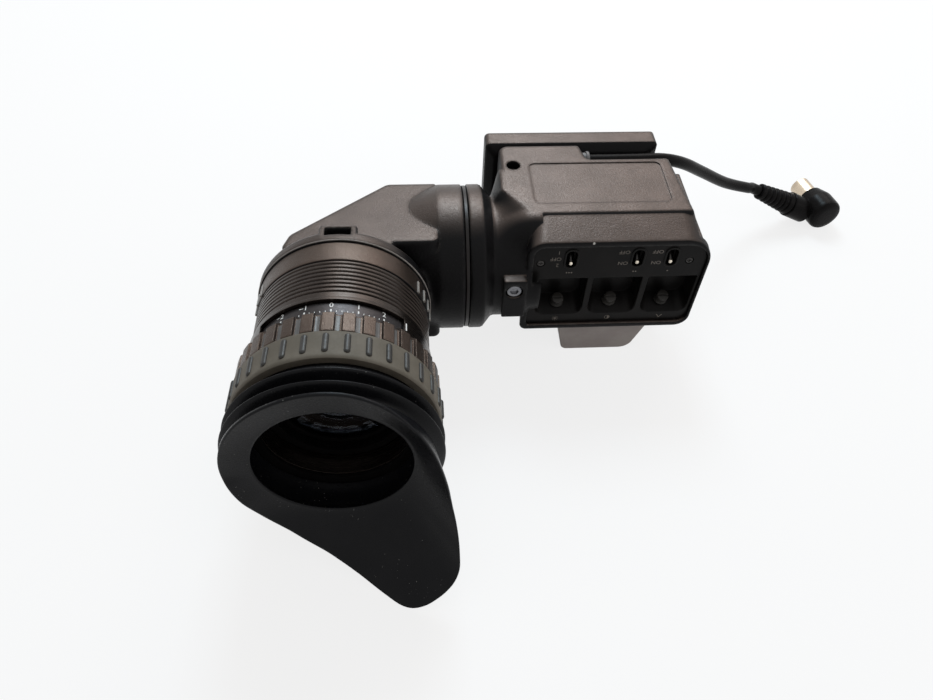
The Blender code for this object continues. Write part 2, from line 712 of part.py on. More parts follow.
def build_housing():
    """The display housing: neck, body, sloped front block, and its cavities."""
    plans = [
        rounded(
            [
                (BODY_LEFT, BODY_SHOULDER_Y),
                (NECK_END - ramp, BODY_FRONT + BODY_CORNER),
                (NECK_END - ramp, BODY_FRONT),
                (BODY_RIGHT, BODY_FRONT),
                (BODY_RIGHT_BACK, BODY_STEP_Y),
                (BODY_STEP_FOOT_X, BODY_STEP_Y),
                (BODY_STEP_X, BODY_BACK),
                (BODY_LEFT, BODY_BACK),
            ],
            [BODY_CORNER, BODY_CORNER, 0, 0, BODY_BEVEL, BODY_BEVEL, BODY_BEVEL, BODY_CORNER],
            3,
        )
        for ramp in (RAMP_REACH, 0)
    ]
    shell = piece(
        "housing_shell",
        loft(
            lifted(plans[0], BODY_BOTTOM, "Z"),
            lifted(plans[0], RAMP_START, "Z"),
            lifted(plans[1], BODY_TOP, "Z"),
        ),
        casting(),
        part_frame,
    )
    bevelled(shell, BODY_BEVEL, 2, 50)
    join(
        shell,
        tool(
            "neck",
            turned(
                [
                    (0, JOINT_HALF_GAP),
                    (TUBE_RADIUS - SMALL_BEVEL, JOINT_HALF_GAP),
                    (TUBE_RADIUS, JOINT_HALF_GAP + SMALL_BEVEL),
                    (TUBE_RADIUS, COLLAR_END - SMALL_BEVEL),
                    (TUBE_RADIUS - SMALL_BEVEL, COLLAR_END + SMALL_BEVEL),
                    (NECK_RADIUS + SMALL_BEVEL, NECK_START - SMALL_BEVEL),
                    (NECK_RADIUS, NECK_START + SMALL_BEVEL),
                    (NECK_RADIUS, NECK_END + OVERRUN),
                    (0, NECK_END + OVERRUN),
                ],
                TURN_STEPS,
                "X",
            ),
            part_frame,
        ),
    )
    front = rounded(
        rectangle(BLOCK_LEFT, BLOCK_RIGHT, BODY_BOTTOM, BLOCK_TOP),
        [BLOCK_FOOT_LEFT, BLOCK_FOOT_RIGHT, BLOCK_CORNER_RIGHT, BLOCK_CORNER_LEFT],
    )
    lip = rounded(
        rectangle(
            BLOCK_LEFT + SMALL_BEVEL,
            BLOCK_RIGHT - SMALL_BEVEL,
            BODY_BOTTOM + SMALL_BEVEL,
            BLOCK_TOP - SMALL_BEVEL,
        ),
        [
            BLOCK_FOOT_LEFT - SMALL_BEVEL,
            BLOCK_FOOT_RIGHT - SMALL_BEVEL,
            BLOCK_CORNER_RIGHT - SMALL_BEVEL,
            BLOCK_CORNER_LEFT - SMALL_BEVEL,
        ],
    )
    back = rounded(
        rectangle(BLOCK_LEFT_BACK, BLOCK_RIGHT, BODY_BOTTOM, BLOCK_TOP_BACK),
        [BLOCK_FOOT_LEFT, BLOCK_FOOT_RIGHT, BLOCK_CORNER_RIGHT, BLOCK_CORNER_LEFT],
    )
    join(
        shell,
        tool(
            "front_block",
            loft(
                lifted(lip, BLOCK_FRONT, "Y"),
                lifted(front, BLOCK_FRONT + SMALL_BEVEL, "Y"),
                lifted(back, BLOCK_BACK, "Y"),
            ),
            part_frame,
        ),
    )
    clamp = tool(
        "clamp_boss",
        box(CLAMP_LEFT, CLAMP_RIGHT, CLAMP_FRONT, CLAMP_BACK, CLAMP_LOW, CLAMP_HIGH),
        part_frame,
    )
    join(shell, bevelled(clamp, SMALL_BEVEL, 1))
    inner_bore = [
        (0, JOINT_HALF_GAP - OVERRUN),
        (SPIGOT_RADIUS + CLEARANCE, JOINT_HALF_GAP - OVERRUN),
        (SPIGOT_RADIUS + CLEARANCE, SPIGOT_LENGTH + CLEARANCE),
        (SHOULDER_BORE, SPIGOT_LENGTH + CLEARANCE),
        (SHOULDER_BORE, NOSE_LENGTH),
        (NECK_BORE, NOSE_LENGTH),
        (NECK_BORE, NECK_BORE_END),
        (FUNNEL_BORE, NECK_BORE_END),
        (FUNNEL_BORE, CAVITY_LEFT + OVERRUN),
        (0, CAVITY_LEFT + OVERRUN),
    ]
    cut(shell, tool("neck_bore", turned(inner_bore, TURN_STEPS, "X"), part_frame))
    cut(
        shell,
        tool(
            "main_cavity",
            box(
                CAVITY_LEFT,
                CAVITY_RIGHT,
                CAVITY_FRONT,
                CAVITY_BACK,
                CAVITY_FLOOR,
                CAVITY_ROOF,
            ),
            part_frame,
        ),
    )
    pocket_front = pocket_outline(BLOCK_LEFT + RIM)
    pocket_back = pocket_outline(POCKET_LEFT_BACK)
    cut(
        shell,
        tool(
            "panel_pocket",
            loft(
                lifted(pocket_front, BLOCK_FRONT - OVERRUN, "Y"),
                lifted(pocket_front, PANEL_FACE + PANEL_THICK, "Y"),
                lifted(pocket_back, POCKET_BACK, "Y"),
            ),
            part_frame,
        ),
    )
    cut(
        shell,
        tool(
            "wire_way",
            box(
                WIRE_WAY_LEFT,
                WIRE_WAY_RIGHT,
                POCKET_BACK - OVERRUN,
                CAVITY_FRONT + OVERRUN,
                WIRE_WAY_LOW,
                WIRE_WAY_HIGH,
            ),
            part_frame,
        ),
    )
    label = rounded(rectangle(LABEL_LEFT, LABEL_RIGHT, LABEL_FRONT, LABEL_BACK), LABEL_CORNER)
    cut(
        shell,
        tool("label_recess", prism(label, BODY_TOP - LABEL_DEPTH, BODY_TOP + OVERRUN), part_frame),
    )
    cut(
        shell,
        tool(
            "casing_hole",
            rod(CASING_HOLE_RADIUS, BODY_TOP - CASING_HOLE_DEPTH, BODY_TOP + OVERRUN),
            part_frame,
            (CASING_HOLE_X, CASING_HOLE_Y, 0),
        ),
    )
    cut(
        shell,
        tool(
            "clamp_pocket",
            rod(
                CLAMP_POCKET_RADIUS,
                CLAMP_FRONT - OVERRUN,
                CLAMP_FRONT + CLAMP_POCKET_DEPTH,
                SMALL_STEPS,
                "Y",
            ),
            part_frame,
            (CLAMP_X, 0, CLAMP_Z),
        ),
    )
    cut(
        shell,
        tool(
            "cover_seat",
            box(
                BODY_RIGHT,
                BLOCK_RIGHT + OVERRUN,
                COVER_FRONT - CLEARANCE,
                BODY_STEP_Y,
                COVER_SHELF - CLEARANCE,
                BODY_TOP + OVERRUN,
            ),
            part_frame,
        ),
    )
    cut(
        shell,
        tool(
            "gland_hole",
            rod(
                GLAND_RADIUS + CLEARANCE,
                GLAND_START - CLEARANCE,
                BODY_STEP_FOOT_X + OVERRUN,
                SMALL_STEPS,
                "X",
            ),
            part_frame,
            (0, GLAND_Y, GLAND_Z),
        ),
    )
    for i, x in enumerate(PLATE_SCREW_XS):
        for j, z in enumerate(PLATE_SCREW_ZS):
            if i != j:
                continue
            deep = PLATE_BACK - PLATE_SCREW_LENGTH - CLEARANCE
            hole = rod(PLATE_SCREW_SHANK + CLEARANCE, deep, BODY_BACK + OVERRUN, SMALL_STEPS, "Y")
            cut(shell, tool(f"plate_hole_{i}", hole, part_frame, (x, 0, z)))
    piece(
        "casing_screw",
        rod(
            CASING_HOLE_RADIUS - CLEARANCE,
            BODY_TOP - CASING_HOLE_DEPTH + CLEARANCE,
            BODY_TOP - CASING_HOLE_DEPTH + CASING_HOLE_RADIUS,
            bevel=SMALL_BEVEL,
        ),
        black_metal(),
        part_frame,
        (CASING_HOLE_X, CASING_HOLE_Y, 0),
    )
    head_front = CLAMP_FRONT + CLEARANCE
    head = piece(
        "clamp_screw",
        rod(
            CLAMP_POCKET_RADIUS - 2 * CLEARANCE,
            head_front,
            CLAMP_FRONT + CLAMP_POCKET_DEPTH - CLEARANCE,
            SMALL_STEPS,
            "Y",
            CLEARANCE,
        ),
        bare_metal(),
        part_frame,
        (CLAMP_X, 0, CLAMP_Z),
    )
    cut(
        head,
        tool(
            "clamp_socket",
            rod(CLAMP_POCKET_RADIUS / 2, head_front - OVERRUN, head_front + CLEARANCE * 3, 6, "Y"),
            part_frame,
            (CLAMP_X, 0, CLAMP_Z),
        ),
    )
    cover = rounded(
        [
            (COVER_INNER, COVER_SHELF),
            (BLOCK_RIGHT + CLEARANCE, COVER_SHELF),
            (BLOCK_RIGHT + CLEARANCE, COVER_FOOT),
            (COVER_OUTER - SMALL_BEVEL, COVER_FOOT),
            (COVER_OUTER, COVER_OUTER_Z),
            (COVER_MIDDLE_X, COVER_MIDDLE_Z),
            (COVER_CREST_X, COVER_TOP),
            (COVER_INNER, COVER_TOP),
        ],
        [0, 0, 0, 0, BLOCK_CORNER_LEFT, BLOCK_CORNER_LEFT, BODY_BEVEL / 2, 0],
        3,
    )
    piece("side_cover", prism(cover, COVER_FRONT, COVER_BACK, "Y"), casting(), part_frame)


def pocket_outline(left, inset=0.0):
    """The outline of the recess that the control panel fills, or of the panel itself."""
    return rounded(
        rectangle(
            left + inset,
            BLOCK_RIGHT - RIM_RIGHT - inset,
            BODY_BOTTOM + RIM + inset,
            BLOCK_TOP - RIM - inset,
        ),
        [
            BLOCK_FOOT_LEFT / 2,
            BLOCK_FOOT_RIGHT - RIM_RIGHT - inset,
            BLOCK_CORNER_RIGHT - RIM - inset,
            BLOCK_CORNER_LEFT - RIM - inset,
        ],
    )


def well_outline(half, low, grown=0.0):
    return rounded(
        rectangle(-half - grown, half + grown, low - grown, WELL_TOP + grown),
        [WELL_CORNER + grown, WELL_CORNER + grown, WELL_TOP_CORNER, WELL_TOP_CORNER],
        3,
    )


def knob_floor(y):
    """The height of the well's floor at a place behind the panel's face."""
    slope = (WELL_LOW_BACK - WELL_LOW) / (WELL_BACK - PANEL_FACE)
    return WELL_LOW + (y - PANEL_FACE) * slope


def build_controls():
    """The control panel with its wells and slots, the switches, knobs and screws."""
    panel = piece(
        "control_panel",
        prism(
            pocket_outline(BLOCK_LEFT + RIM, CLEARANCE),
            PANEL_FACE,
            PANEL_FACE + PANEL_THICK,
            "Y",
        ),
        black_plastic(),
        part_frame,
    )
    wells = [WELL_FIRST_X + WELL_PITCH * i for i in range(3)]
    for i, x in enumerate(wells):
        cup = loft(
            lifted(well_outline(WELL_HALF, WELL_LOW, WELL_WALL), PANEL_FACE + CLEARANCE, "Y"),
            lifted(
                well_outline(WELL_HALF_BACK, WELL_LOW_BACK, WELL_WALL),
                WELL_BACK + WELL_WALL,
                "Y",
            ),
        )
        join(panel, tool(f"well_wall_{i}", cup, part_frame, (x, 0, 0)))
    for i, x in enumerate(SLOT_XS):
        rim = rounded(
            rectangle(
                -SLOT_HALF_WIDTH - SLOT_RIM,
                SLOT_HALF_WIDTH + SLOT_RIM,
                -SLOT_HALF_HEIGHT - SLOT_RIM,
                SLOT_HALF_HEIGHT + SLOT_RIM,
            ),
            SLOT_HALF_WIDTH + SLOT_RIM - CLEARANCE / 2,
        )
        raised = prism(rim, PANEL_FACE - SLOT_RIM_HEIGHT, PANEL_FACE + CLEARANCE, "Y")
        join(panel, tool(f"slot_rim_{i}", raised, part_frame, (x, 0, SLOT_Z)))
    for i, x in enumerate(wells):
        well = loft(
            lifted(well_outline(WELL_HALF, knob_floor(PANEL_FACE - OVERRUN)), PANEL_FACE - OVERRUN, "Y"),
            lifted(well_outline(WELL_HALF_BACK, WELL_LOW_BACK), WELL_BACK, "Y"),
        )
        cut(panel, tool(f"well_{i}", well, part_frame, (x, 0, 0)))
    floor = knob_floor(KNOB_Y)
    for i, x in enumerate(wells):
        hole = rod(KNOB_STEM_RADIUS + CLEARANCE, -WELL_WALL - OVERRUN, OVERRUN / 2)
        cut(panel, tool(f"stem_hole_{i}", hole, part_frame, (x, KNOB_Y, floor), (90 - KNOB_LEAN, 0, 0)))
    for i, x in enumerate(SLOT_XS):
        slot = rounded(
            rectangle(-SLOT_HALF_WIDTH, SLOT_HALF_WIDTH, -SLOT_HALF_HEIGHT, SLOT_HALF_HEIGHT),
            SLOT_HALF_WIDTH - CLEARANCE / 2,
        )
        through = prism(slot, PANEL_FACE - OVERRUN, PANEL_FACE + PANEL_THICK + OVERRUN, "Y")
        cut(panel, tool(f"slot_{i}", through, part_frame, (x, 0, SLOT_Z)))
    for side, x in (("left", PANEL_SCREW_LEFT_X), ("right", PANEL_SCREW_RIGHT_X)):
        hole = rod(
            PANEL_SCREW_RADIUS + CLEARANCE,
            PANEL_FACE - OVERRUN,
            PANEL_FACE + PANEL_SCREW_HEAD,
            SMALL_STEPS,
            "Y",
        )
        cut(panel, tool(f"screw_hole_{side}", hole, part_frame, (x, 0, PANEL_SCREW_Z)))
        piece(
            f"panel_screw_{side}",
            rod(
                PANEL_SCREW_RADIUS,
                PANEL_FACE,
                PANEL_FACE + PANEL_SCREW_HEAD - CLEARANCE,
                SMALL_STEPS,
                "Y",
            ),
            black_metal(),
            part_frame,
            (x, 0, PANEL_SCREW_Z),
        )
    switch_front = PANEL_FACE + PANEL_THICK + CLEARANCE
    names = ("tally", "marker_a", "marker_b")
    for name, x in zip(names, SLOT_XS):
        body = piece(
            f"switch_body_{name}",
            box(
                -SWITCH_HALF_WIDTH,
                SWITCH_HALF_WIDTH,
                switch_front,
                switch_front + SWITCH_DEPTH,
                -SWITCH_HALF_HEIGHT,
                SWITCH_HALF_HEIGHT,
            ),
            black_plastic(),
            part_frame,
            (x, 0, SLOT_Z),
        )
        cut(
            body,
            tool(
                f"switch_slot_{name}",
                box(
                    -SWITCH_SLOT_HALF,
                    SWITCH_SLOT_HALF,
                    switch_front - OVERRUN,
                    switch_front + SWITCH_SLOT_DEPTH,
                    -SWITCH_SLOT_REACH,
                    SWITCH_SLOT_REACH,
                ),
                part_frame,
                (x, 0, SLOT_Z),
            ),
        )
        pivot = empty(f"lever_pivot_{name}", part_frame, (x, LEVER_PIVOT_Y, SLOT_Z))
        lever = turned(
            [
                (0, -LEVER_RADIUS),
                (LEVER_RADIUS, -LEVER_RADIUS),
                (LEVER_RADIUS, LEVER_LENGTH - 2 * LEVER_TIP_RADIUS),
                (LEVER_TIP_RADIUS, LEVER_LENGTH - LEVER_TIP_RADIUS),
                (LEVER_TIP_RADIUS * 0.7, LEVER_LENGTH),
                (0, LEVER_LENGTH),
            ],
            12,
        )
        piece(
            f"switch_lever_{name}",
            lever,
            bare_metal(),
            pivot,
            turn=(90 + LEVER_THROW / 2, 0, 0),
        )
    for name, x in zip(("bright", "contrast", "peaking"), wells):
        axis = empty(f"knob_axis_{name}", part_frame, (x, KNOB_Y, floor), (90 - KNOB_LEAN, 0, 0))
        base = WELL_WALL + CLEARANCE
        knob = turned(
            [
                (0, -base),
                (KNOB_STEM_RADIUS, -base),
                (KNOB_STEM_RADIUS, CLEARANCE),
                (KNOB_FLANGE_RADIUS, CLEARANCE),
                (KNOB_FLANGE_RADIUS, KNOB_FLANGE),
                (KNOB_TIP_RADIUS, KNOB_FLANGE + CLEARANCE),
                (KNOB_TIP_RADIUS, KNOB_HEIGHT - CLEARANCE),
                (KNOB_TIP_RADIUS - CLEARANCE, KNOB_HEIGHT),
                (0, KNOB_HEIGHT),
            ],
            SMALL_STEPS,
        )
        top = piece(f"knob_{name}", knob, black_plastic(), axis)
        cut(
            top,
            tool(
                f"knob_slot_{name}",
                box(
                    -KNOB_TIP_RADIUS - CLEARANCE,
                    KNOB_TIP_RADIUS + CLEARANCE,
                    -KNOB_SLOT_HALF,
                    KNOB_SLOT_HALF,
                    KNOB_HEIGHT - KNOB_SLOT_DEPTH,
                    KNOB_HEIGHT + OVERRUN,
                ),
                axis,
            ),
        )
        under = base + CLEARANCE
        piece(
            f"trimmer_{name}",
            rod(TRIMMER_RADIUS, -under - TRIMMER_HEIGHT, -under),
            black_plastic(),
            axis,
        )


def build_display():
    """The picture tube, its seat, yoke and socket, and the circuit boards."""
    tube = turned(
        [
            (0, CRT_FACE),
            (CRT_RADIUS - SMALL_BEVEL, CRT_FACE),
            (CRT_RADIUS, CRT_FACE + SMALL_BEVEL),
            (CRT_RADIUS, CRT_BULB_END),
            (CRT_NECK_RADIUS, CRT_FUNNEL_END),
            (CRT_NECK_RADIUS, CRT_END),
            (0, CRT_END),
        ],
        HIDDEN_STEPS,
        "X",
    )
    piece("picture_tube", tube, lens_glass(), part_frame)
    piece(
        "tube_seat",
        ring(CRT_RADIUS + CLEARANCE, BEZEL_RADIUS, CRT_FACE, BEZEL_END, 0, HIDDEN_STEPS, "X"),
        soft_rubber(),
        part_frame,
    )
    piece(
        "deflection_yoke",
        ring(CRT_NECK_RADIUS + CLEARANCE, YOKE_RADIUS, YOKE_START, YOKE_END, 0, HIDDEN_STEPS, "X"),
        material("yoke_winding", (0.30, 0.12, 0.05), 0.45, 0.5),
        part_frame,
    )
    green = material("circuit_board", (0.02, 0.09, 0.04), 0.5)
    socket_start = CRT_END + CLEARANCE
    socket = piece(
        "tube_socket",
        rod(SOCKET_RADIUS, socket_start, socket_start + SOCKET_THICK, SMALL_STEPS, "X"),
        green,
        part_frame,
    )
    pin = rod(SOCKET_PIN_RADIUS, socket_start, socket_start + SOCKET_PIN_LENGTH, 12, "X")
    join(socket, tool("socket_pin", pin, part_frame))
    board_low = CAVITY_FLOOR + CLEARANCE
    piece(
        "main_board",
        box(
            BOARD_LEFT,
            BOARD_RIGHT,
            CAVITY_FRONT + OVERRUN,
            CAVITY_BACK - CLEARANCE,
            board_low,
            board_low + BOARD_THICK,
        ),
        green,
        part_frame,
    )
    supply_low = board_low + BOARD_THICK + CLEARANCE
    supply = piece(
        "high_voltage_module",
        box(
            SUPPLY_LEFT,
            SUPPLY_RIGHT,
            SUPPLY_FRONT + OVERRUN,
            SUPPLY_BACK,
            supply_low,
            supply_low + SUPPLY_HEIGHT,
        ),
        black_plastic(),
        part_frame,
    )
    bevelled(supply, SMALL_BEVEL, 1)
    board_front = PANEL_FACE + PANEL_THICK + SWITCH_DEPTH + 2 * CLEARANCE
    piece(
        "control_board",
        box(
            CONTROL_BOARD_LEFT,
            CONTROL_BOARD_RIGHT,
            board_front,
            board_front + BOARD_THICK,
            SLOT_Z - CONTROL_BOARD_HALF,
            SLOT_Z + CONTROL_BOARD_HALF - 2 * CLEARANCE,
        ),
        green,
        part_frame,
    )


def build_tally():
    """The lamp cover under the fascia, on which the front of the housing stands."""
    top = BODY_BOTTOM - CLEARANCE
    foot = -AXIS_HEIGHT
    outline = rounded(
        [
            (TALLY_LEFT, top),
            (TALLY_FOOT_LEFT, foot),
            (TALLY_FOOT_RIGHT, foot),
            (TALLY_RIGHT, top),
        ],
        [0, TALLY_CORNER, TALLY_CORNER_RIGHT, 0],
        4,
    )
    cover = piece(
        "tally_cover",
        prism(outline, TALLY_FRONT, TALLY_BACK, "Y"),
        material("lamp_cover", (0.115, 0.096, 0.088), 0.42),
        part_frame,
    )
    bevelled(cover, SMALL_BEVEL, 1, 60)
    inner = rounded(
        [
            (TALLY_LEFT + 2 * TALLY_WALL, top + OVERRUN),
            (TALLY_FOOT_LEFT + TALLY_WALL, foot + TALLY_WALL),
            (TALLY_FOOT_RIGHT - TALLY_WALL, foot + TALLY_WALL),
            (TALLY_RIGHT - 2 * TALLY_WALL, top + OVERRUN),
        ],
        [0, TALLY_CORNER - TALLY_WALL, TALLY_CORNER_RIGHT - TALLY_WALL, 0],
        3,
    )
    hollow = prism(inner, TALLY_FRONT + TALLY_WALL, TALLY_BACK - TALLY_WALL, "Y")
    cut(cover, tool("tally_hollow", hollow, part_frame))
    piece(
        "tally_lamp",
        turned(
            [
                (0, top - TALLY_LAMP_LENGTH),
                (TALLY_LAMP_RADIUS * 0.6, top - TALLY_LAMP_LENGTH + SMALL_BEVEL),
                (TALLY_LAMP_RADIUS, top - TALLY_LAMP_LENGTH + 3 * SMALL_BEVEL),
                (TALLY_LAMP_RADIUS, top),
                (0, top),
            ],
            SMALL_STEPS,
        ),
        material("red_lamp", (0.35, 0.02, 0.01), 0.25),
        part_frame,
        (TALLY_LAMP_X, (TALLY_FRONT + TALLY_BACK) / 2, 0),
    )


def build_plate():
    """The mounting plate behind the housing, on whose lower edge the back stands."""
    face = BODY_BACK + CLEARANCE
    bottom = -AXIS_HEIGHT
    outer = rounded(rectangle(PLATE_LEFT, PLATE_RIGHT, bottom, PLATE_TOP), PLATE_CORNER, 3)
    inner = rounded(
        rectangle(
            PLATE_LEFT + PLATE_CHAMFER,
            PLATE_RIGHT - PLATE_CHAMFER,
            bottom + PLATE_CHAMFER,
            PLATE_TOP - PLATE_CHAMFER,
        ),
        PLATE_CORNER,
        3,
    )
    plate = piece(
        "mount_plate",
        loft(
            lifted(inner, face, "Y"),
            lifted(outer, PLATE_RIM_FRONT, "Y"),
            lifted(outer, PLATE_BACK, "Y"),
        ),
        casting(),
        part_frame,
    )
    cut(
        plate,
        tool(
            "plate_slot",
            box(
                PLATE_SLOT_X - PLATE_SLOT_HALF_WIDTH,
                PLATE_SLOT_X + PLATE_SLOT_HALF_WIDTH,
                PLATE_BACK - PLATE_SLOT_DEPTH,
                PLATE_BACK + OVERRUN,
                bottom - OVERRUN,
                PLATE_SLOT_TOP,
            ),
            part_frame,
        ),
    )
    for i, (x, z) in enumerate(zip(PLATE_SCREW_XS, PLATE_SCREW_ZS)):
        head = PLATE_BACK - PLATE_SCREW_HEAD_HEIGHT
        recess = turned(
            [
                (0, face - OVERRUN),
                (PLATE_SCREW_SHANK + CLEARANCE, face - OVERRUN),
                (PLATE_SCREW_SHANK + CLEARANCE, head - CLEARANCE),
                (PLATE_SCREW_HEAD + CLEARANCE, head - CLEARANCE),
                (PLATE_SCREW_HEAD + CLEARANCE, PLATE_BACK + OVERRUN),
                (0, PLATE_BACK + OVERRUN),
            ],
            SMALL_STEPS,
            "Y",
        )
        cut(plate, tool(f"plate_recess_{i}", recess, part_frame, (x, 0, z)))
        screw = turned(
            [
                (0, PLATE_BACK - PLATE_SCREW_LENGTH),
                (PLATE_SCREW_SHANK, PLATE_BACK - PLATE_SCREW_LENGTH),
                (PLATE_SCREW_SHANK, head),
                (PLATE_SCREW_HEAD, head),
                (PLATE_SCREW_HEAD, PLATE_BACK - CLEARANCE),
                (0, PLATE_BACK - CLEARANCE),
            ],
            SMALL_STEPS,
            "Y",
        )
        piece(f"plate_screw_{'ab'[i]}", screw, black_metal(), part_frame, (x, 0, z))


def build_elbow():
    """The elbow casting with its mirror box, tube boss, flange, latch lug and hinge ears."""
    plan = [
        (BOX_RIGHT, BOX_BACK),
        (BOX_RIGHT, BOX_STEP_Y),
        (BOX_STEP_X, BOX_STEP_Y),
        (BOX_STEP_X, BOX_FRONT),
        (BOX_LEFT, BOX_FRONT),
        (BOX_SLANT_X, BOX_SLANT_Y),
        (BOX_BACK_LEFT, BOX_BACK),
    ]
    shell = piece("elbow_shell", prism(plan, -BOX_HALF, BOX_HALF), casting(), elbow_axis)
    bevelled(shell, BOX_BEVEL, 2, 25)
    join(
        shell,
        tool(
            "tube_boss",
            turned(
                [
                    (0, BOSS_START),
                    (BOSS_START_RADIUS, BOSS_START),
                    (TUBE_RADIUS, BOSS_TAPER_END),
                    (TUBE_RADIUS, -JOINT_HALF_GAP - SMALL_BEVEL),
                    (TUBE_RADIUS - SMALL_BEVEL, -JOINT_HALF_GAP),
                    (SPIGOT_RADIUS, -JOINT_HALF_GAP),
                    (SPIGOT_RADIUS, SPIGOT_LENGTH),
                    (NOSE_RADIUS, SPIGOT_LENGTH),
                    (NOSE_RADIUS, NOSE_LENGTH),
                    (0, NOSE_LENGTH),
                ],
                TURN_STEPS,
                "X",
            ),
            elbow_axis,
        ),
    )
    join(
        shell,
        tool(
            "eye_flange",
            turned(
                [
                    (0, FLANGE_BACK - OVERRUN),
                    (FLANGE_RADIUS - 2 * FLANGE_BEVEL, FLANGE_BACK - OVERRUN),
                    (FLANGE_RADIUS, FLANGE_BACK),
                    (FLANGE_RADIUS, FLANGE_FRONT),
                    (0, FLANGE_FRONT),
                ],
                TURN_STEPS,
            ),
            elbow_axis,
            (EYE_X, 0, 0),
            (90, 0, 0),
        ),
    )
    lug = tool(
        "lug_body",
        box(LUG_LEFT, LUG_RIGHT, LUG_FRONT, LUG_BACK, BOX_HALF - OVERRUN, LUG_TOP),
        elbow_axis,
    )
    join(shell, bevelled(lug, SMALL_BEVEL, 2))
    ear = rounded(
        [
            (-EAR_ROOT, -HINGE_ROOT_DROP),
            (-EAR_ROOT, -HINGE_DROP - HINGE_RADIUS * 0.4),
            (-HINGE_REACH + HINGE_RADIUS * 0.3, -HINGE_DROP - HINGE_RADIUS),
            (-HINGE_REACH - HINGE_RADIUS, -HINGE_DROP - HINGE_RADIUS),
            (-HINGE_REACH - HINGE_RADIUS, -HINGE_DROP + HINGE_RADIUS),
            (-FLANGE_FRONT + CLEARANCE, -HINGE_DROP + HINGE_RADIUS),
            (-FLANGE_FRONT + CLEARANCE, -HINGE_ROOT_DROP),
        ],
        [0, HINGE_RADIUS / 2, 0, HINGE_RADIUS * 0.9, HINGE_RADIUS * 0.9, 0, 0],
        4,
    )
    for side in (-1, 1):
        inner = EYE_X + side * EAR_INNER
        outer = EYE_X + side * EAR_OUTER
        made = prism(ear, min(inner, outer), max(inner, outer), "X")
        join(shell, tool(f"hinge_ear_{'left' if side < 0 else 'right'}", made, elbow_axis))
    wall = Vector((BOX_BACK_LEFT - BOX_SLANT_X, BOX_BACK - BOX_SLANT_Y, 0))
    along = wall.normalized()
    inward = Vector((along.y, -along.x, 0))
    start = Vector((BOX_SLANT_X, BOX_SLANT_Y, 0)) + inward * BOX_WALL
    end = Vector((BOX_BACK_LEFT, BOX_BACK, 0)) + inward * BOX_WALL
    back = BOX_BACK - BOX_WALL
    left = BOX_LEFT + 2 * BOX_WALL
    room = [
        (BOX_RIGHT - OVERRUN, back),
        (BOX_RIGHT - OVERRUN, BOX_STEP_Y + BOX_WALL),
        (BOX_STEP_X - BOX_WALL, BOX_STEP_Y + BOX_WALL),
        (BOX_STEP_X - BOX_WALL, BOX_FRONT + 2 * BOX_WALL),
        (left, BOX_FRONT + 2 * BOX_WALL),
        (left, start.y + (left - start.x) * along.y / along.x),
        (end.x + (back - end.y) * along.x / along.y, back),
    ]
    cut(
        shell,
        tool("mirror_room", prism(room, -BOX_HALF + BOX_WALL, BOX_HALF - BOX_WALL), elbow_axis),
    )
    bore = rod(LIGHT_BORE, BOX_RIGHT - 2 * OVERRUN, NOSE_LENGTH + OVERRUN, TURN_STEPS, "X")
    cut(shell, tool("light_bore", bore, elbow_axis))
    eye = rod(ELBOW_EYE_BORE, -BOX_FRONT - 3 * BOX_WALL, FLANGE_FRONT + OVERRUN, TURN_STEPS)
    cut(shell, tool("eye_bore", eye, elbow_axis, (EYE_X, 0, 0), (90, 0, 0)))
    reach = BASE_RADIUS + GRIP_HEIGHT + CLEARANCE
    room = ring(FLANGE_RADIUS / 2, reach, FLANGE_FRONT + CLEARANCE / 2, BASE_FRONT + OVERRUN)
    cut(shell, tool("base_room", room, elbow_axis, (EYE_X, 0, 0), (90, 0, 0)))
    window = box(
        LUG_LEFT + LUG_WALL,
        LUG_RIGHT - LUG_WALL,
        LUG_FRONT + LUG_WALL,
        LUG_BACK - LUG_WALL * 0.8,
        LUG_FLOOR,
        LUG_TOP + OVERRUN,
    )
    cut(shell, tool("lug_window", window, elbow_axis))
    catch_low = CATCH_TOP - CATCH_THICK - CATCH_TRAVEL - CLEARANCE
    slot = box(
        EYE_X - CATCH_HALF - CLEARANCE,
        EYE_X + CATCH_HALF + CLEARANCE,
        -FLANGE_FRONT - OVERRUN,
        LUG_FRONT + 2 * LUG_WALL,
        catch_low,
        CATCH_TOP + CLEARANCE,
    )
    cut(shell, tool("catch_slot", slot, elbow_axis))
    pin_hole = rod(
        HINGE_PIN_RADIUS + CLEARANCE, -EAR_OUTER - OVERRUN, EAR_OUTER + OVERRUN, SMALL_STEPS, "X"
    )
    cut(shell, tool("ear_hole", pin_hole, elbow_axis, (EYE_X, -HINGE_REACH, -HINGE_DROP)))
    seat = empty("mirror_seat", elbow_axis, (start + end) / 2)
    seat.rotation_euler = (0, 0, math.atan2(along.y, along.x))
    carrier_front = -CLEARANCE - CARRIER_THICK
    piece(
        "mirror_carrier",
        box(
            -CARRIER_LENGTH / 2,
            CARRIER_LENGTH / 2,
            carrier_front,
            -CLEARANCE,
            -CARRIER_HALF_HEIGHT,
            CARRIER_HALF_HEIGHT,
        ),
        black_metal(),
        seat,
    )
    mirror_back = carrier_front - CLEARANCE
    piece(
        "mirror",
        box(
            -MIRROR_LENGTH / 2,
            MIRROR_LENGTH / 2,
            mirror_back - MIRROR_THICK,
            mirror_back,
            -MIRROR_HALF_HEIGHT,
            MIRROR_HALF_HEIGHT,
        ),
        material("mirror_glass", (0.85, 0.87, 0.88), 0.04, 1.0),
        seat,
    )
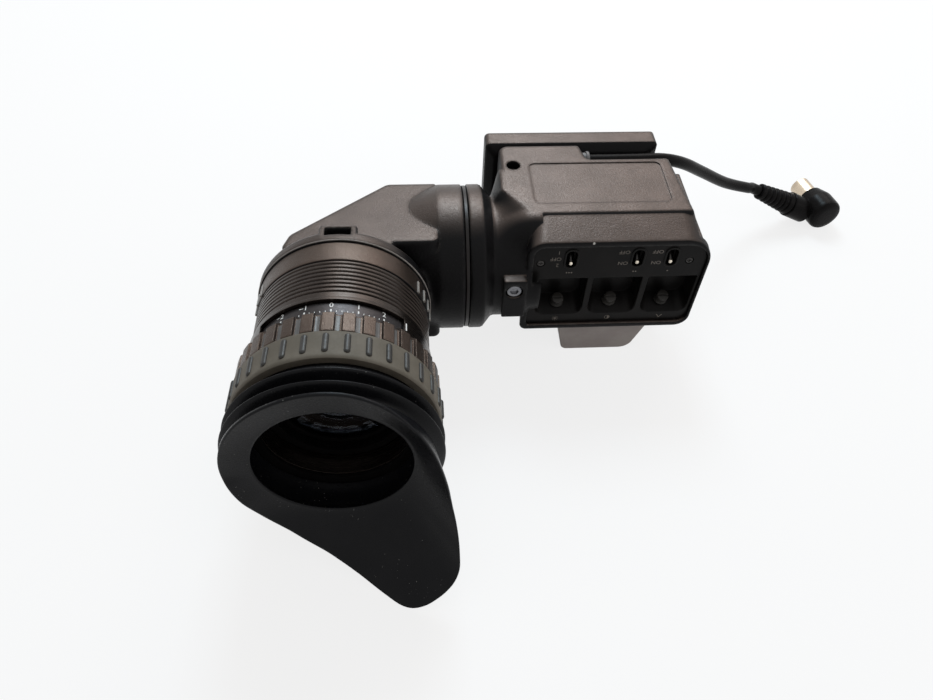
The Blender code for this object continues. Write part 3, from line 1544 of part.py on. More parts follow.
    piece(
        "swivel_retainer",
        ring(
            RETAINER_BORE,
            NECK_BORE - CLEARANCE,
            NOSE_LENGTH + CLEARANCE,
            NOSE_LENGTH + CLEARANCE + RETAINER_THICK,
            0,
            HIDDEN_STEPS,
            "X",
        ),
        black_metal(),
        elbow_axis,
    )
    piece(
        "swivel_washer",
        ring(WASHER_BORE, WASHER_RADIUS, -WASHER_HALF, WASHER_HALF, 0, TURN_STEPS, "X"),
        material("light_ring", (0.30, 0.30, 0.30), 0.38, 0.4),
        part_frame,
    )


def build_eyepiece():
    """The flip-up eyepiece: base ring, grooved barrel with hood, hinge pin and catch."""
    base = piece(
        "eyepiece_base",
        turned(
            [
                (EYE_BORE, BASE_BACK),
                (BASE_RADIUS - CLEARANCE, BASE_BACK),
                (BASE_RADIUS + CLEARANCE, BASE_BACK + 2 * CLEARANCE),
                (BASE_RADIUS, BASE_FRONT - CLEARANCE),
                (BASE_RADIUS - CLEARANCE, BASE_FRONT),
                (BARREL_SPIGOT + CLEARANCE, BASE_FRONT),
                (BARREL_SPIGOT + CLEARANCE, BASE_SOCKET),
                (EYE_BORE, BASE_SOCKET),
            ]
        ),
        casting(),
        eyepiece_axis,
    )
    web = rounded(
        [
            (-HINGE_ROOT_DROP, BASE_BACK),
            (-HINGE_DROP + HINGE_RADIUS, BASE_BACK),
            (-HINGE_DROP + HINGE_RADIUS, HINGE_REACH - HINGE_RADIUS),
            (-HINGE_DROP - HINGE_RADIUS, HINGE_REACH - HINGE_RADIUS),
            (-HINGE_DROP - HINGE_RADIUS, HINGE_REACH + HINGE_RADIUS),
            (-HINGE_DROP, BASE_BACK + KNUCKLE_WEB),
            (-HINGE_ROOT_DROP, BASE_BACK + 2 * KNUCKLE_WEB),
        ],
        [0, 0, HINGE_RADIUS * 0.9, HINGE_RADIUS * 0.9, HINGE_RADIUS * 0.9, 0, 0],
        4,
    )
    knuckle = prism(web, -KNUCKLE_HALF, KNUCKLE_HALF, "X")
    join(base, tool("hinge_knuckle", knuckle, eyepiece_axis))
    for side in (0, 1):
        for i in range(GRIP_COUNT):
            angle = GRIP_FIRST + GRIP_STEP * i
            if side:
                angle = 180 - angle
            bar = box(
                BASE_RADIUS - 2 * GRIP_HEIGHT,
                BASE_RADIUS + GRIP_HEIGHT,
                -GRIP_HALF_WIDTH,
                GRIP_HALF_WIDTH,
                GRIP_BACK,
                GRIP_FRONT,
            )
            join(base, tool(f"grip_{side}_{i}", bar, eyepiece_axis, turn=(0, 0, angle)))
    pin_hole = rod(
        HINGE_PIN_RADIUS + CLEARANCE,
        -KNUCKLE_HALF - OVERRUN,
        KNUCKLE_HALF + OVERRUN,
        SMALL_STEPS,
        "X",
    )
    cut(base, tool("knuckle_hole", pin_hole, eyepiece_axis, (0, -HINGE_DROP, HINGE_REACH)))
    catch_low = CATCH_TOP - CATCH_THICK
    pocket = box(
        -CATCH_HALF - CLEARANCE,
        CATCH_HALF + CLEARANCE,
        catch_low - CATCH_TRAVEL - CLEARANCE,
        CATCH_TOP + CLEARANCE,
        BASE_BACK - OVERRUN,
        CATCH_FRONT + CLEARANCE,
    )
    cut(base, tool("catch_pocket", pocket, eyepiece_axis))
    catch = piece(
        "latch_catch",
        box(-CATCH_HALF, CATCH_HALF, catch_low, CATCH_TOP, CATCH_BACK, CATCH_FRONT),
        black_metal(),
        eyepiece_axis,
    )
    bevelled(catch, CLEARANCE, 1)
    piece(
        "hinge_pin",
        rod(HINGE_PIN_RADIUS, -EAR_OUTER, EAR_OUTER, SMALL_STEPS, "X"),
        bare_metal(),
        flip_axis,
    )
    profile = [
        (BARREL_BORE, BASE_SOCKET + CLEARANCE),
        (BARREL_SPIGOT, BASE_SOCKET + CLEARANCE),
        (BARREL_SPIGOT, BASE_FRONT + CLEARANCE),
        (BARREL_RADIUS, BASE_FRONT + CLEARANCE),
    ]
    for i in range(GROOVE_COUNT):
        at = GROOVE_START + GROOVE_PITCH * i
        profile += [
            (BARREL_RADIUS, at),
            (BARREL_RADIUS - GROOVE_DEPTH, at + GROOVE_WIDTH / 2),
            (BARREL_RADIUS, at + GROOVE_WIDTH),
        ]
    profile += [
        (BARREL_RADIUS, HOOD_START),
        (HOOD_RADIUS, HOOD_START + HOOD_RADIUS - BARREL_RADIUS),
        (HOOD_RADIUS, HOOD_END),
        (HOOD_BORE, HOOD_END),
        (HOOD_BORE, HOOD_FLOOR),
        (BARREL_TUBE, HOOD_FLOOR),
        (BARREL_TUBE, BARREL_END),
        (BARREL_BORE, BARREL_END),
    ]
    barrel = piece("grooved_barrel", turned(profile), black_metal(), eyepiece_axis)
    gap = [
        (SCALE_RADIUS + CLEARANCE / 2, HOOD_FLOOR),
        (HOOD_RADIUS + OVERRUN, HOOD_FLOOR),
        (HOOD_RADIUS + OVERRUN, HOOD_END + OVERRUN),
        (SCALE_RADIUS + CLEARANCE / 2, HOOD_END + OVERRUN),
    ]
    opening = turned(gap, 16, "Z", WINDOW_FROM, WINDOW_TO - WINDOW_FROM)
    cut(barrel, tool("scale_window", opening, eyepiece_axis))


def fluted(count, wave, levels):
    """Rings of a notched outline: wave lists (share of a pitch, on or off), levels (radius, drop, place)."""
    rings = []
    for radius, drop, place in levels:
        points = []
        for i in range(count):
            for share, up in wave:
                angle = 2 * math.pi * (i + share) / count
                reach = radius if up else radius - drop
                points.append(Vector((reach * math.cos(angle), reach * math.sin(angle), place)))
        rings.append(points)
    return loft(*rings)


def build_rings():
    """The dioptre scale and fluted ring, the ribbed rubber ring, its holder and the lens cell."""
    piece(
        "dioptre_scale",
        ring(RING_BORE, SCALE_RADIUS, SCALE_START, SCALE_END),
        material("scale_enamel", (0.020, 0.020, 0.021), 0.40),
        eyepiece_axis,
    )
    land_shares = ((0.00, 1), (0.56, 1), (0.66, 0), (0.90, 0))
    flutes = fluted(
        FLUTE_COUNT,
        land_shares,
        (
            (FLUTE_NOSE_RADIUS, FLUTE_DEPTH, FLUTE_START),
            (FLUTE_RADIUS, FLUTE_DEPTH, FLUTE_START + FLUTE_NOSE),
            (FLUTE_RADIUS, FLUTE_DEPTH, FLUTE_END - FLUTE_TAIL),
            (FLUTE_RADIUS - FLUTE_TAIL, FLUTE_DEPTH / 2, FLUTE_END),
        ),
    )
    dioptre = piece("dioptre_ring", flutes, casting(), eyepiece_axis)
    bore = rod(RING_BORE, FLUTE_START - OVERRUN, FLUTE_END + OVERRUN, TURN_STEPS)
    cut(dioptre, tool("dioptre_bore", bore, eyepiece_axis))
    rib_shares = ((0.00, 0), (0.66, 0), (0.74, 1), (0.92, 1))
    top = RIB_RING_RADIUS + RIB_HEIGHT
    ribs = fluted(
        RIB_COUNT,
        rib_shares,
        (
            (RIB_RING_RADIUS, 0, RIB_RING_START),
            (RIB_RING_RADIUS, 0, RIB_RING_START + RIB_MARGIN),
            (top, RIB_HEIGHT, RIB_RING_START + RIB_MARGIN + RIB_END),
            (top, RIB_HEIGHT, RIB_RING_END - RIB_FRONT_MARGIN - RIB_END),
            (RIB_RING_RADIUS, 0, RIB_RING_END - RIB_FRONT_MARGIN),
            (RIB_RING_RADIUS - SMALL_BEVEL, 0, RIB_RING_END),
        ),
    )
    grip = piece(
        "rubber_ring", ribs, material("grey_rubber", (0.105, 0.100, 0.093), 0.60), eyepiece_axis
    )
    bore = rod(HOLDER_RADIUS + CLEARANCE, RIB_RING_START - OVERRUN, RIB_RING_END + OVERRUN, TURN_STEPS)
    cut(grip, tool("rubber_ring_bore", bore, eyepiece_axis))
    keeper_start = BARREL_END + CLEARANCE
    piece(
        "eyecup_holder",
        turned(
            [
                (RING_BORE, RIB_RING_START),
                (HOLDER_RADIUS, RIB_RING_START),
                (HOLDER_RADIUS, HOLDER_END),
                (KEEPER_RADIUS + CLEARANCE, HOLDER_END),
                (KEEPER_RADIUS + CLEARANCE, BARREL_END),
                (RING_BORE, BARREL_END),
            ]
        ),
        black_plastic(),
        eyepiece_axis,
    )
    piece(
        "eyecup_keeper",
        ring(KEEPER_BORE, KEEPER_RADIUS, keeper_start, keeper_start + KEEPER_THICK, 0, HIDDEN_STEPS),
        black_metal(),
        eyepiece_axis,
    )
    piece(
        "lens_cell",
        turned(
            [
                (CELL_SHOULDER, CELL_START),
                (CELL_RADIUS, CELL_START),
                (CELL_RADIUS, CELL_END),
                (CELL_BORE, CELL_END),
                (CELL_BORE, CELL_SHOULDER_END),
                (CELL_SHOULDER, CELL_SHOULDER_END),
            ],
            HIDDEN_STEPS,
        ),
        black_metal(),
        eyepiece_axis,
    )
    field_back = CELL_SHOULDER_END + CLEARANCE + FIELD_LENS_CROWN
    field_front = field_back + FIELD_LENS_THICK - 2 * FIELD_LENS_CROWN
    piece(
        "field_lens",
        lens(CELL_SHOULDER_END + CLEARANCE, field_front, FIELD_LENS_CROWN),
        lens_glass(),
        eyepiece_axis,
    )
    eye_back = field_front + FIELD_LENS_CROWN + CLEARANCE + EYE_LENS_CROWN
    eye_front = eye_back + EYE_LENS_THICK - 2 * EYE_LENS_CROWN
    piece(
        "eye_lens",
        lens(eye_back, eye_front, EYE_LENS_CROWN, EYE_LENS_CROWN),
        lens_glass(),
        eyepiece_axis,
    )
    spacer = eye_front + CLEARANCE
    piece(
        "lens_retainer",
        ring(
            LENS_RADIUS - (CELL_BORE - SPACER_BORE) + CLEARANCE,
            LENS_RADIUS,
            spacer,
            spacer + SPACER_THICK,
            0,
            HIDDEN_STEPS,
        ),
        black_metal(),
        eyepiece_axis,
    )


def lens(back, front, front_crown, back_crown=0.0):
    """A round lens with crowned faces, its rim between the back and front places."""
    shares = (1.0, 0.75, 0.4)
    profile = []
    if back_crown > 0:
        profile.append((0, back - back_crown))
        for share in reversed(shares[1:]):
            profile.append((LENS_RADIUS * share, back - back_crown * (1 - share * share)))
    else:
        profile.append((0, back))
    profile.append((LENS_RADIUS, back))
    for share in shares:
        profile.append((LENS_RADIUS * share, front + front_crown * (1 - share * share)))
    profile.append((0, front + front_crown))
    return turned(profile, HIDDEN_STEPS)


def rim_place(angle):
    """The reach and the lift of the eyecup's rim at an angle, on a smooth curve through its table."""
    count = len(RIM_ANGLES)
    angle = (angle - RIM_ANGLES[0]) % 360 + RIM_ANGLES[0]
    i = max(k for k in range(count) if RIM_ANGLES[k] <= angle)
    turns = [RIM_ANGLES[(i + k) % count] + 360 * ((i + k) // count) for k in (-1, 0, 1, 2)]
    t = (angle - turns[1]) / (turns[2] - turns[1])
    found = []
    for table in (RIM_REACHES, RIM_LIFTS):
        before, first, last, after = (table[(i + k) % count] for k in (-1, 0, 1, 2))
        span = turns[2] - turns[1]
        slope = (last - before) * span / (turns[2] - turns[0])
        next_slope = (after - first) * span / (turns[3] - turns[1])
        found.append(
            first * (1 + 2 * t) * (1 - t) ** 2
            + slope * t * (1 - t) ** 2
            + last * t * t * (3 - 2 * t)
            + next_slope * t * t * (t - 1)
        )
    return found


def build_eyecup():
    """The eyecup: bellows, a flat face round the opening, and the side flap."""
    outer = [(CUP_BACK_RADIUS, CUP_BACK)]
    inner = [(CUP_BACK_BORE, CUP_BACK)]
    for i in range(2):
        at = RIDGE_FIRST + RIDGE_PITCH * i
        outer += [
            (RIDGE_RADIUS - SMALL_BEVEL, at - 1.5 * SMALL_BEVEL),
            (RIDGE_RADIUS, at),
            (RIDGE_RADIUS - SMALL_BEVEL, at + 1.5 * SMALL_BEVEL),
            (VALLEY_RADIUS, at + RIDGE_PITCH / 2),
        ]
        inner.append((RIDGE_RADIUS - 3 * CUP_WALL, at + RIDGE_PITCH * i / 2))
    inner += [(CUP_OPENING + CUP_LIP, CUP_FACE - CUP_LIP), (CUP_OPENING, CUP_FACE - CUP_LIP / 3)]
    mouth = CUP_OPENING + CUP_LIP / 2
    root = VALLEY_RADIUS + ROOT_RISE
    root_place = outer[-1][1] + ROOT_STEP
    mesh = bmesh.new()
    rows = []
    for k in range(CUP_STEPS):
        turn_share = 2 * k / CUP_STEPS - 1
        crowded = math.copysign(abs(turn_share) ** CUP_CROWDING, turn_share)
        angle = FLAP_MIDDLE + 180 * crowded
        reach, lift = rim_place(angle)
        rim = FACE_EDGE_RADIUS + reach
        place = FACE_EDGE + lift
        back = rim + RIM_ROUND
        back_place = place - RIM_DROP
        section = list(inner)
        section += [
            (mouth, CUP_FACE),
            ((mouth + rim) / 2, CUP_FACE + (place - CUP_FACE) * FACE_SAG_SHARE),
            (rim, place),
            (back, back_place),
            ((root + back) / 2, (root_place + back_place) / 2),
            (root, root_place),
        ]
        section += reversed(outer)
        turn = math.radians(angle)
        rows.append(
            [
                mesh.verts.new((radius * math.cos(turn), radius * math.sin(turn), place))
                for radius, place in section
            ]
        )
    for one, two in zip(rows, rows[1:] + rows[:1]):
        count = len(one)
        for i in range(count):
            j = (i + 1) % count
            mesh.faces.new((one[i], one[j], two[j], two[i]))
    piece("eyecup", mesh, soft_rubber(), eyepiece_axis)


def smooth_route(points, samples):
    """Evenly shared points on a smooth curve through the route's own points."""
    points = [Vector(point) for point in points]
    ends = [2 * points[0] - points[1]] + points + [2 * points[-1] - points[-2]]
    fine = []
    for i in range(1, len(ends) - 2):
        a, b, c, d = ends[i - 1], ends[i], ends[i + 1], ends[i + 2]
        for j in range(24):
            t = j / 24
            fine.append(
                b
                + (c - a) * t / 2
                + (a * 2 - b * 5 + c * 4 - d) * t * t / 2
                + (b * 3 - a - c * 3 + d) * t * t * t / 2
            )
    fine.append(points[-1])
    length = [0.0]
    for one, two in zip(fine, fine[1:]):
        length.append(length[-1] + (two - one).length)
    even = []
    i = 0
    for k in range(samples):
        want = length[-1] * k / (samples - 1)
        while i < len(fine) - 2 and length[i + 1] < want:
            i += 1
        step = length[i + 1] - length[i]
        t = (want - length[i]) / step if step else 0.0
        even.append(fine[i].lerp(fine[i + 1], min(max(t, 0.0), 1.0)))
    print(f"cord length {length[-1]:.4f} m")
    return even


def build_cord():
    """The cable gland, the cord, its strain relief and the right-angle plug."""
    gland = turned(
        [
            (0, GLAND_START),
            (GLAND_RADIUS, GLAND_START),
            (GLAND_RADIUS, GLAND_FLANGE_START),
            (GLAND_FLANGE_RADIUS, GLAND_FLANGE_START),
            (GLAND_FLANGE_RADIUS, GLAND_END - SMALL_BEVEL),
            (GLAND_FLANGE_RADIUS - SMALL_BEVEL, GLAND_END),
            (0, GLAND_END),
        ],
        SMALL_STEPS,
        "X",
    )
    piece(
        "cable_gland",
        gland,
        material("grey_plastic", (0.16, 0.15, 0.15), 0.45),
        part_frame,
        (0, GLAND_Y, GLAND_Z),
    )
    black = material("cord_jacket", (0.016, 0.014, 0.014), 0.38)
    start = Vector(RELIEF_START)
    aim = (Vector(RELIEF_AIM) - start).normalized()
    last = start - aim * CLEARANCE
    route = list(CORD_ROUTE) + [tuple(last - aim * CORD_RADIUS * 2), tuple(last)]
    even = smooth_route(route, CORD_SAMPLES)
    curve = bpy.data.curves.new("cord", "CURVE")
    curve.dimensions = "3D"
    spline = curve.splines.new("POLY")
    spline.points.add(len(even) - 1)
    for point, place in zip(spline.points, even):
        point.co = (*place, 1)
    curve.bevel_depth = CORD_RADIUS
    curve.bevel_resolution = 2
    curve.use_fill_caps = True
    curve.materials.append(black)
    cord = bpy.data.objects.new("cord", curve)
    cord.parent = part_frame
    bpy.context.scene.collection.objects.link(cord)
    relief_frame = empty("relief_frame", part_frame, RELIEF_START)
    relief_frame.rotation_euler = aim.to_track_quat("Z", "Y").to_euler()
    profile = [(0, 0), (RELIEF_RADIUS, 0)]
    pitch = RELIEF_LENGTH / (RELIEF_RIBS + 1)
    for i in range(RELIEF_RIBS):
        at = pitch * (i + 0.6)
        grow = RELIEF_RADIUS + (RELIEF_END_RADIUS - RELIEF_RADIUS) * at / RELIEF_LENGTH
        profile += [
            (grow, at),
            (grow * RELIEF_GROOVE_SHARE, at + pitch * 0.18),
            (grow * RELIEF_GROOVE_SHARE, at + pitch * 0.42),
            (grow, at + pitch * 0.6),
        ]
    profile += [(RELIEF_END_RADIUS, RELIEF_LENGTH), (0, RELIEF_LENGTH)]
    piece("strain_relief", turned(profile, 10), black, relief_frame)
    cap = Vector(PLUG_CAP)
    plug_frame = empty("plug_frame", part_frame, PLUG_CAP)
    plug_frame.rotation_euler = (Vector(PLUG_AIM) - cap).to_track_quat("Z", "Y").to_euler()
    body = piece(
        "plug_body",
        turned(
            [
                (0, 0),
                (PLUG_RADIUS * 0.72, 0),
                (PLUG_RADIUS * 0.94, PLUG_RADIUS * 0.12),
                (PLUG_RADIUS, PLUG_RADIUS * 0.35),
                (PLUG_RADIUS, PLUG_LENGTH * 0.6),
                (PLUG_FRONT_RADIUS, PLUG_LENGTH * 0.92),
                (PLUG_FRONT_RADIUS * 0.94, PLUG_LENGTH),
                (0, PLUG_LENGTH),
            ],
            20,
        ),
        black,
        plug_frame,
    )
    reach = (Vector(RELIEF_AIM) - start).length
    neck = turned(
        [
            (0, RELIEF_LENGTH + CLEARANCE),
            (PLUG_NECK_RADIUS * 0.92, RELIEF_LENGTH + CLEARANCE),
            (PLUG_NECK_RADIUS, RELIEF_LENGTH + CLEARANCE + SMALL_BEVEL),
            (PLUG_NECK_RADIUS, reach + PLUG_NECK_INTO),
            (0, reach + PLUG_NECK_INTO),
        ],
        20,
    )
    join(body, tool("plug_neck", neck, relief_frame))
    shell_start = PLUG_LENGTH + CLEARANCE
    shell_end = shell_start + PLUG_SHELL_LENGTH
    floor = shell_start + SMALL_BEVEL
    piece(
        "plug_shell",
        turned(
            [
                (0, shell_start),
                (PLUG_SHELL_RADIUS, shell_start),
                (PLUG_SHELL_RADIUS, shell_end),
                (PLUG_SHELL_BORE, shell_end),
                (PLUG_SHELL_BORE, floor),
                (0, floor),
            ],
            24,
        ),
        bare_metal(),
        plug_frame,
    )
    insert_start = floor + CLEARANCE
    piece(
        "plug_insert",
        rod(
            PLUG_SHELL_BORE - CLEARANCE,
            insert_start,
            insert_start + PLUG_SHELL_LENGTH * PLUG_INSERT_SHARE,
            SMALL_STEPS,
        ),
        black_plastic(),
        plug_frame,
    )


build_housing()
build_controls()
build_display()
build_tally()
build_plate()
build_elbow()
build_eyepiece()
build_rings()
build_eyecup()
build_cord()
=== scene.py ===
# %% [markdown]
# A studio viewfinder, lying upside down on a pale table.
# It has three groups: a cast display housing with its controls, an elbow that swivels on the
# housing's neck, and an eyepiece that flips up from the elbow and ends in a soft rubber eyecup.
# The sizes and places are fixed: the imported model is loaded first, and every piece made here
# takes the place of one of its nodes or sits on one. What this script adds is what the eye
# wants: finer curves, lettering, screws, rubber, paint and light.

# %% Load the model
import math

import bmesh
import bpy
from mathutils import Matrix, Vector


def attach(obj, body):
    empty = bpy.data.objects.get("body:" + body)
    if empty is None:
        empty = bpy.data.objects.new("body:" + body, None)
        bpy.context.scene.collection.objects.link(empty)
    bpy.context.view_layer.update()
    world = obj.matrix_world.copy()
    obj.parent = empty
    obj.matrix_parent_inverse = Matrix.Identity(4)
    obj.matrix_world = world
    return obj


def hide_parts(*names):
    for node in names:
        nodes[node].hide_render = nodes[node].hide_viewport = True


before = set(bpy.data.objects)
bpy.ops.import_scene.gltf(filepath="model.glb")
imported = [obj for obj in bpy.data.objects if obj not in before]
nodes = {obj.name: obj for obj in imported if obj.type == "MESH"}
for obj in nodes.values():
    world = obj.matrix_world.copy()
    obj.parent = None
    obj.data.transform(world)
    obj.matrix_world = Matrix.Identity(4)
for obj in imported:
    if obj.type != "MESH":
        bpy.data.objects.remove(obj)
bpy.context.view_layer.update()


def new_object(name, data):
    """An object that shows the data, put in the scene."""
    made = bpy.data.objects.new(name, data)
    bpy.context.scene.collection.objects.link(made)
    return made


# %% [markdown]
# The viewfinder has two directions of its own. The display tube runs along X, and its axis
# crosses the swivel plane at one point. The eyepiece looks forward and 5.38 degrees up.
# Writing each piece in the frame of its own axis keeps the numbers as simple as the real
# drawing, and one matrix takes the finished mesh to the table.

# %% The two axes of the viewfinder
TILT = math.radians(5.38)
SWIVEL = Vector((-0.0064, 0.0447, 0.0400))
EYE_X = -0.0490
housing_frame = Matrix.Translation(SWIVEL)
elbow_frame = housing_frame @ Matrix.Rotation(-TILT, 4, "X")
eyepiece_frame = elbow_frame @ Matrix.Translation((EYE_X, 0, 0)) @ Matrix.Rotation(math.pi / 2, 4, "X")
print("eyepiece looks along", [round(v, 3) for v in eyepiece_frame.col[2][:3]])

# %% [markdown]
# A product photograph is easiest to match when the camera is set before anything else. The
# lens and the place come from measuring the photographed outline, so the picture can be
# compared with the original corner by corner.

# %% Camera
IMAGE_WIDTH, FOCAL_PIXELS = 933, 746.5
CAMERA_PLACE = (-0.0247, -0.1881, 0.2652)
camera_data = bpy.data.cameras.new("camera")
camera_data.sensor_width = 36
camera_data.lens = FOCAL_PIXELS / IMAGE_WIDTH * camera_data.sensor_width
camera = new_object("camera", camera_data)
right = Vector((0.998, -0.0575, 0.0268)).normalized()
ahead = Vector((0.0569, 0.6257, -0.778)).normalized()
up = right.cross(ahead).normalized()
right = ahead.cross(up)
turn = Matrix((right, up, -ahead)).transposed().to_4x4()
camera.matrix_world = Matrix.Translation(CAMERA_PLACE) @ turn
bpy.context.scene.camera = camera
print("lens", round(camera_data.lens, 2), "mm")

# %% [markdown]
# Every surface here is dark, so its form shows by what it reflects. A small cool soft box
# behind the object draws the bright bands along the round tubes. A wide, dim and warm panel
# farther back lights the flat tops, whose brown sheen is partly painted into the castings'
# colour, and a faint one fills the right side.
# The table is a plain sheet that catches the shadow.

# %% Light and table


def soft_box(name, place, target, width, height, radiance, colour):
    """A rectangular lamp of a given surface brightness, aimed at a point."""
    data = bpy.data.lights.new(name, "AREA")
    data.shape = "RECTANGLE"
    data.size, data.size_y = width, height
    data.energy = radiance * math.pi * width * height
    data.color = colour
    lamp = new_object(name, data)
    lamp.location = place
    lamp.rotation_euler = (Vector(target) - Vector(place)).to_track_quat("-Z", "Y").to_euler()


soft_box("window_light", (0.02, 0.576, 0.72), (0, 0.03, 0.06), 0.27, 0.29, 17.0, (0.68, 0.88, 1.0))
soft_box("warm_panel", (0.20, 0.78, 0.72), (0.03, 0.05, 0.06), 0.95, 0.50, 3.0, (1.0, 0.92, 0.88))
soft_box("side_fill", (0.75, -0.30, 0.45), (0, 0, 0.04), 0.5, 0.5, 0.8, (1.0, 0.97, 0.94))

floor_mesh = bpy.data.meshes.new("table")
floor_mesh.from_pydata([(-3, -3, 0), (3, -3, 0), (3, 3, 0), (-3, 3, 0)], [], [(0, 1, 2, 3)])
table = new_object("table", floor_mesh)
table.location.z = -0.0002
bpy.context.scene.view_settings.view_transform = "Standard"

# %% [markdown]
# A shader is a sum: noise times a scale, plus a mask, less another mask. Nodes say that
# slowly, so a small class lets Python's own signs write it: each sign adds one Math node.
# A second class holds a material and adds its other nodes.

# %% Shader arithmetic


class Wire:
    """A node's output that can be added to, taken from and multiplied."""

    def __init__(self, tree, socket):
        self.tree = tree
        self.socket = socket

    def sum(self, operation, *values):
        """A Math node on wires and plain numbers."""
        node = self.tree.nodes.new("ShaderNodeMath")
        node.operation = operation
        for slot, value in zip(node.inputs, values):
            if isinstance(value, Wire):
                self.tree.links.new(value.socket, slot)
            else:
                slot.default_value = value
        return Wire(self.tree, node.outputs[0])

    def __add__(self, other):
        return self.sum("ADD", self, other)

    __radd__ = __add__

    def __sub__(self, other):
        return self.sum("SUBTRACT", self, other)

    def __rsub__(self, other):
        return self.sum("SUBTRACT", other, self)

    def __mul__(self, other):
        return self.sum("MULTIPLY", self, other)

    __rmul__ = __mul__


class Finish:
    """A material with a Principled shader, and one method that adds any other node."""

    def __init__(self, name, **fixed):
        self.look = bpy.data.materials.new(name)
        self.look.use_nodes = True
        self.tree = self.look.node_tree
        self.shader = self.tree.nodes["Principled BSDF"]
        for label, value in fixed.items():
            self.shader.inputs[label.replace("_", " ")].default_value = value
        self.place = self.node("ShaderNodeTexCoord", out="Object")

    def node(self, kind, settings=None, sockets=None, out=0):
        """A node of any kind: its settings first, then the values or wires of its sockets."""
        made = self.tree.nodes.new(kind)
        for label, value in (settings or {}).items():
            setattr(made, label, value)
        for label, value in (sockets or {}).items():
            if isinstance(value, Wire):
                self.tree.links.new(value.socket, made.inputs[label])
            else:
                made.inputs[label].default_value = value
        return Wire(self.tree, made.outputs[out])

    def feed(self, label, wire):
        """The wire linked to an input of the shader."""
        self.tree.links.new(wire.socket, self.shader.inputs[label])

    def noise(self, scale, detail=2.0, rough=0.5, where=None):
        """Cloudy noise, on the object's own coordinates unless others are given."""
        sockets = {"Vector": where or self.place, "Scale": scale, "Detail": detail, "Roughness": rough}
        return self.node("ShaderNodeTexNoise", None, sockets)

    def cells(self, scale):
        """The distance to the nearest of many scattered points."""
        return self.node("ShaderNodeTexVoronoi", None, {"Vector": self.place, "Scale": scale})

    def measured(self, operation, one, two):
        """A number from two vectors, such as their distance."""
        return self.node("ShaderNodeVectorMath", {"operation": operation}, {0: one, 1: two}, out="Value")

    def smooth(self, value, low, high, start=0.0, end=1.0):
        """The value taken smoothly from low..high to start..end."""
        sockets = {"Value": value, "From Min": low, "From Max": high, "To Min": start, "To Max": end}
        return self.node("ShaderNodeMapRange", {"interpolation_type": "SMOOTHSTEP"}, sockets)

    def mix(self, share, one, two):
        """Colour one turning into colour two; plain colours are tuples of three."""
        node = self.tree.nodes.new("ShaderNodeMix")
        node.data_type = "RGBA"
        for slot, value in ((node.inputs[0], share), (node.inputs[6], one), (node.inputs[7], two)):
            if isinstance(value, Wire):
                self.tree.links.new(value.socket, slot)
            elif isinstance(value, tuple):
                slot.default_value = (*value, 1)
            else:
                slot.default_value = value
        return Wire(self.tree, node.outputs[2])

    def soft_edges(self, radius):
        """The surface's direction with every edge rounded over a radius."""
        return self.node("ShaderNodeBevel", {"samples": 6}, {"Radius": radius})

    def edges(self, rounded):
        """A mask that is 1 along edges, from how far the rounded direction leans."""
        true_normal = self.node("ShaderNodeNewGeometry", out="True Normal")
        return 1 - self.measured("DOT_PRODUCT", rounded, true_normal)

    def relief(self, height, distance, strength=1.0, normal=None):
        """Bumps from a height, on a rounded direction if one is given."""
        sockets = {"Height": height, "Distance": distance, "Strength": strength}
        if normal:
            sockets["Normal"] = normal
        return self.node("ShaderNodeBump", None, sockets)


print("shader kit ready")

# %% [markdown]
# The camera sees a white studio, and so do mirrors and glass. The lamps' light meets a dimmer
# world, which only fills the shadows. The white of the table is its own colour: most of what
# the camera sees of it is a steady white, and the rest is plain paint, so the shadow stays.

# %% World and table finish


def background_share(tree):
    """1 for the camera's own rays and for those that metal and glass send on, else 0."""
    path = tree.nodes.new("ShaderNodeLightPath").outputs
    looked_at = Wire(tree, path["Is Camera Ray"])
    mirrored = Wire(tree, path["Is Glossy Ray"])
    through = Wire(tree, path["Is Transmission Ray"])
    return looked_at.sum("MAXIMUM", looked_at, mirrored.sum("MAXIMUM", mirrored, through))


def plain_light(tree, kind, colour, strength):
    """The light of a Background or Emission node."""
    node = tree.nodes.new(kind)
    node.inputs["Color"].default_value = colour
    node.inputs["Strength"].default_value = strength
    return node.outputs[0]


def show_mixed(tree, share, one, two, output):
    """Shader one turned into shader two by a share, and shown."""
    both = tree.nodes.new("ShaderNodeMixShader")
    for socket, source in zip(both.inputs, (share.socket, one, two)):
        tree.links.new(source, socket)
    tree.links.new(both.outputs[0], output.inputs["Surface"])


WHITE, FILL_COLOUR = (1, 1, 1, 1), (1, 0.99, 0.98, 1)
FILL_STRENGTH, STEADY_SHARE = 0.40, 0.80
world = bpy.data.worlds.new("studio")
bpy.context.scene.world = world
world.use_nodes = True
sky = world.node_tree
sky.nodes.clear()
fill = plain_light(sky, "ShaderNodeBackground", FILL_COLOUR, FILL_STRENGTH)
white = plain_light(sky, "ShaderNodeBackground", WHITE, 1.0)
show_mixed(sky, background_share(sky), fill, white, sky.nodes.new("ShaderNodeOutputWorld"))

table_look = Finish("pale_table", Base_Color=(0.86, 0.86, 0.86, 1), Roughness=0.9, Specular_IOR_Level=0.0)
tree = table_look.tree
glow = plain_light(tree, "ShaderNodeEmission", WHITE, 1.0)
paint = table_look.shader.outputs[0]
show_mixed(tree, background_share(tree) * STEADY_SHARE, paint, glow, tree.nodes["Material Output"])
table.data.materials.append(table_look.look)
print("world and table ready")

# %% [markdown]
# The castings, mouldings and turned rings of the real object come from a few shop operations:
# an outline extruded, a profile spun on an axis, and cuts. The helpers below are those
# operations. They work on a mesh in the frame of its own axis, and the finished mesh is then
# taken to its place, so that each object stays at the origin like the model's own nodes.

# %% Shop operations


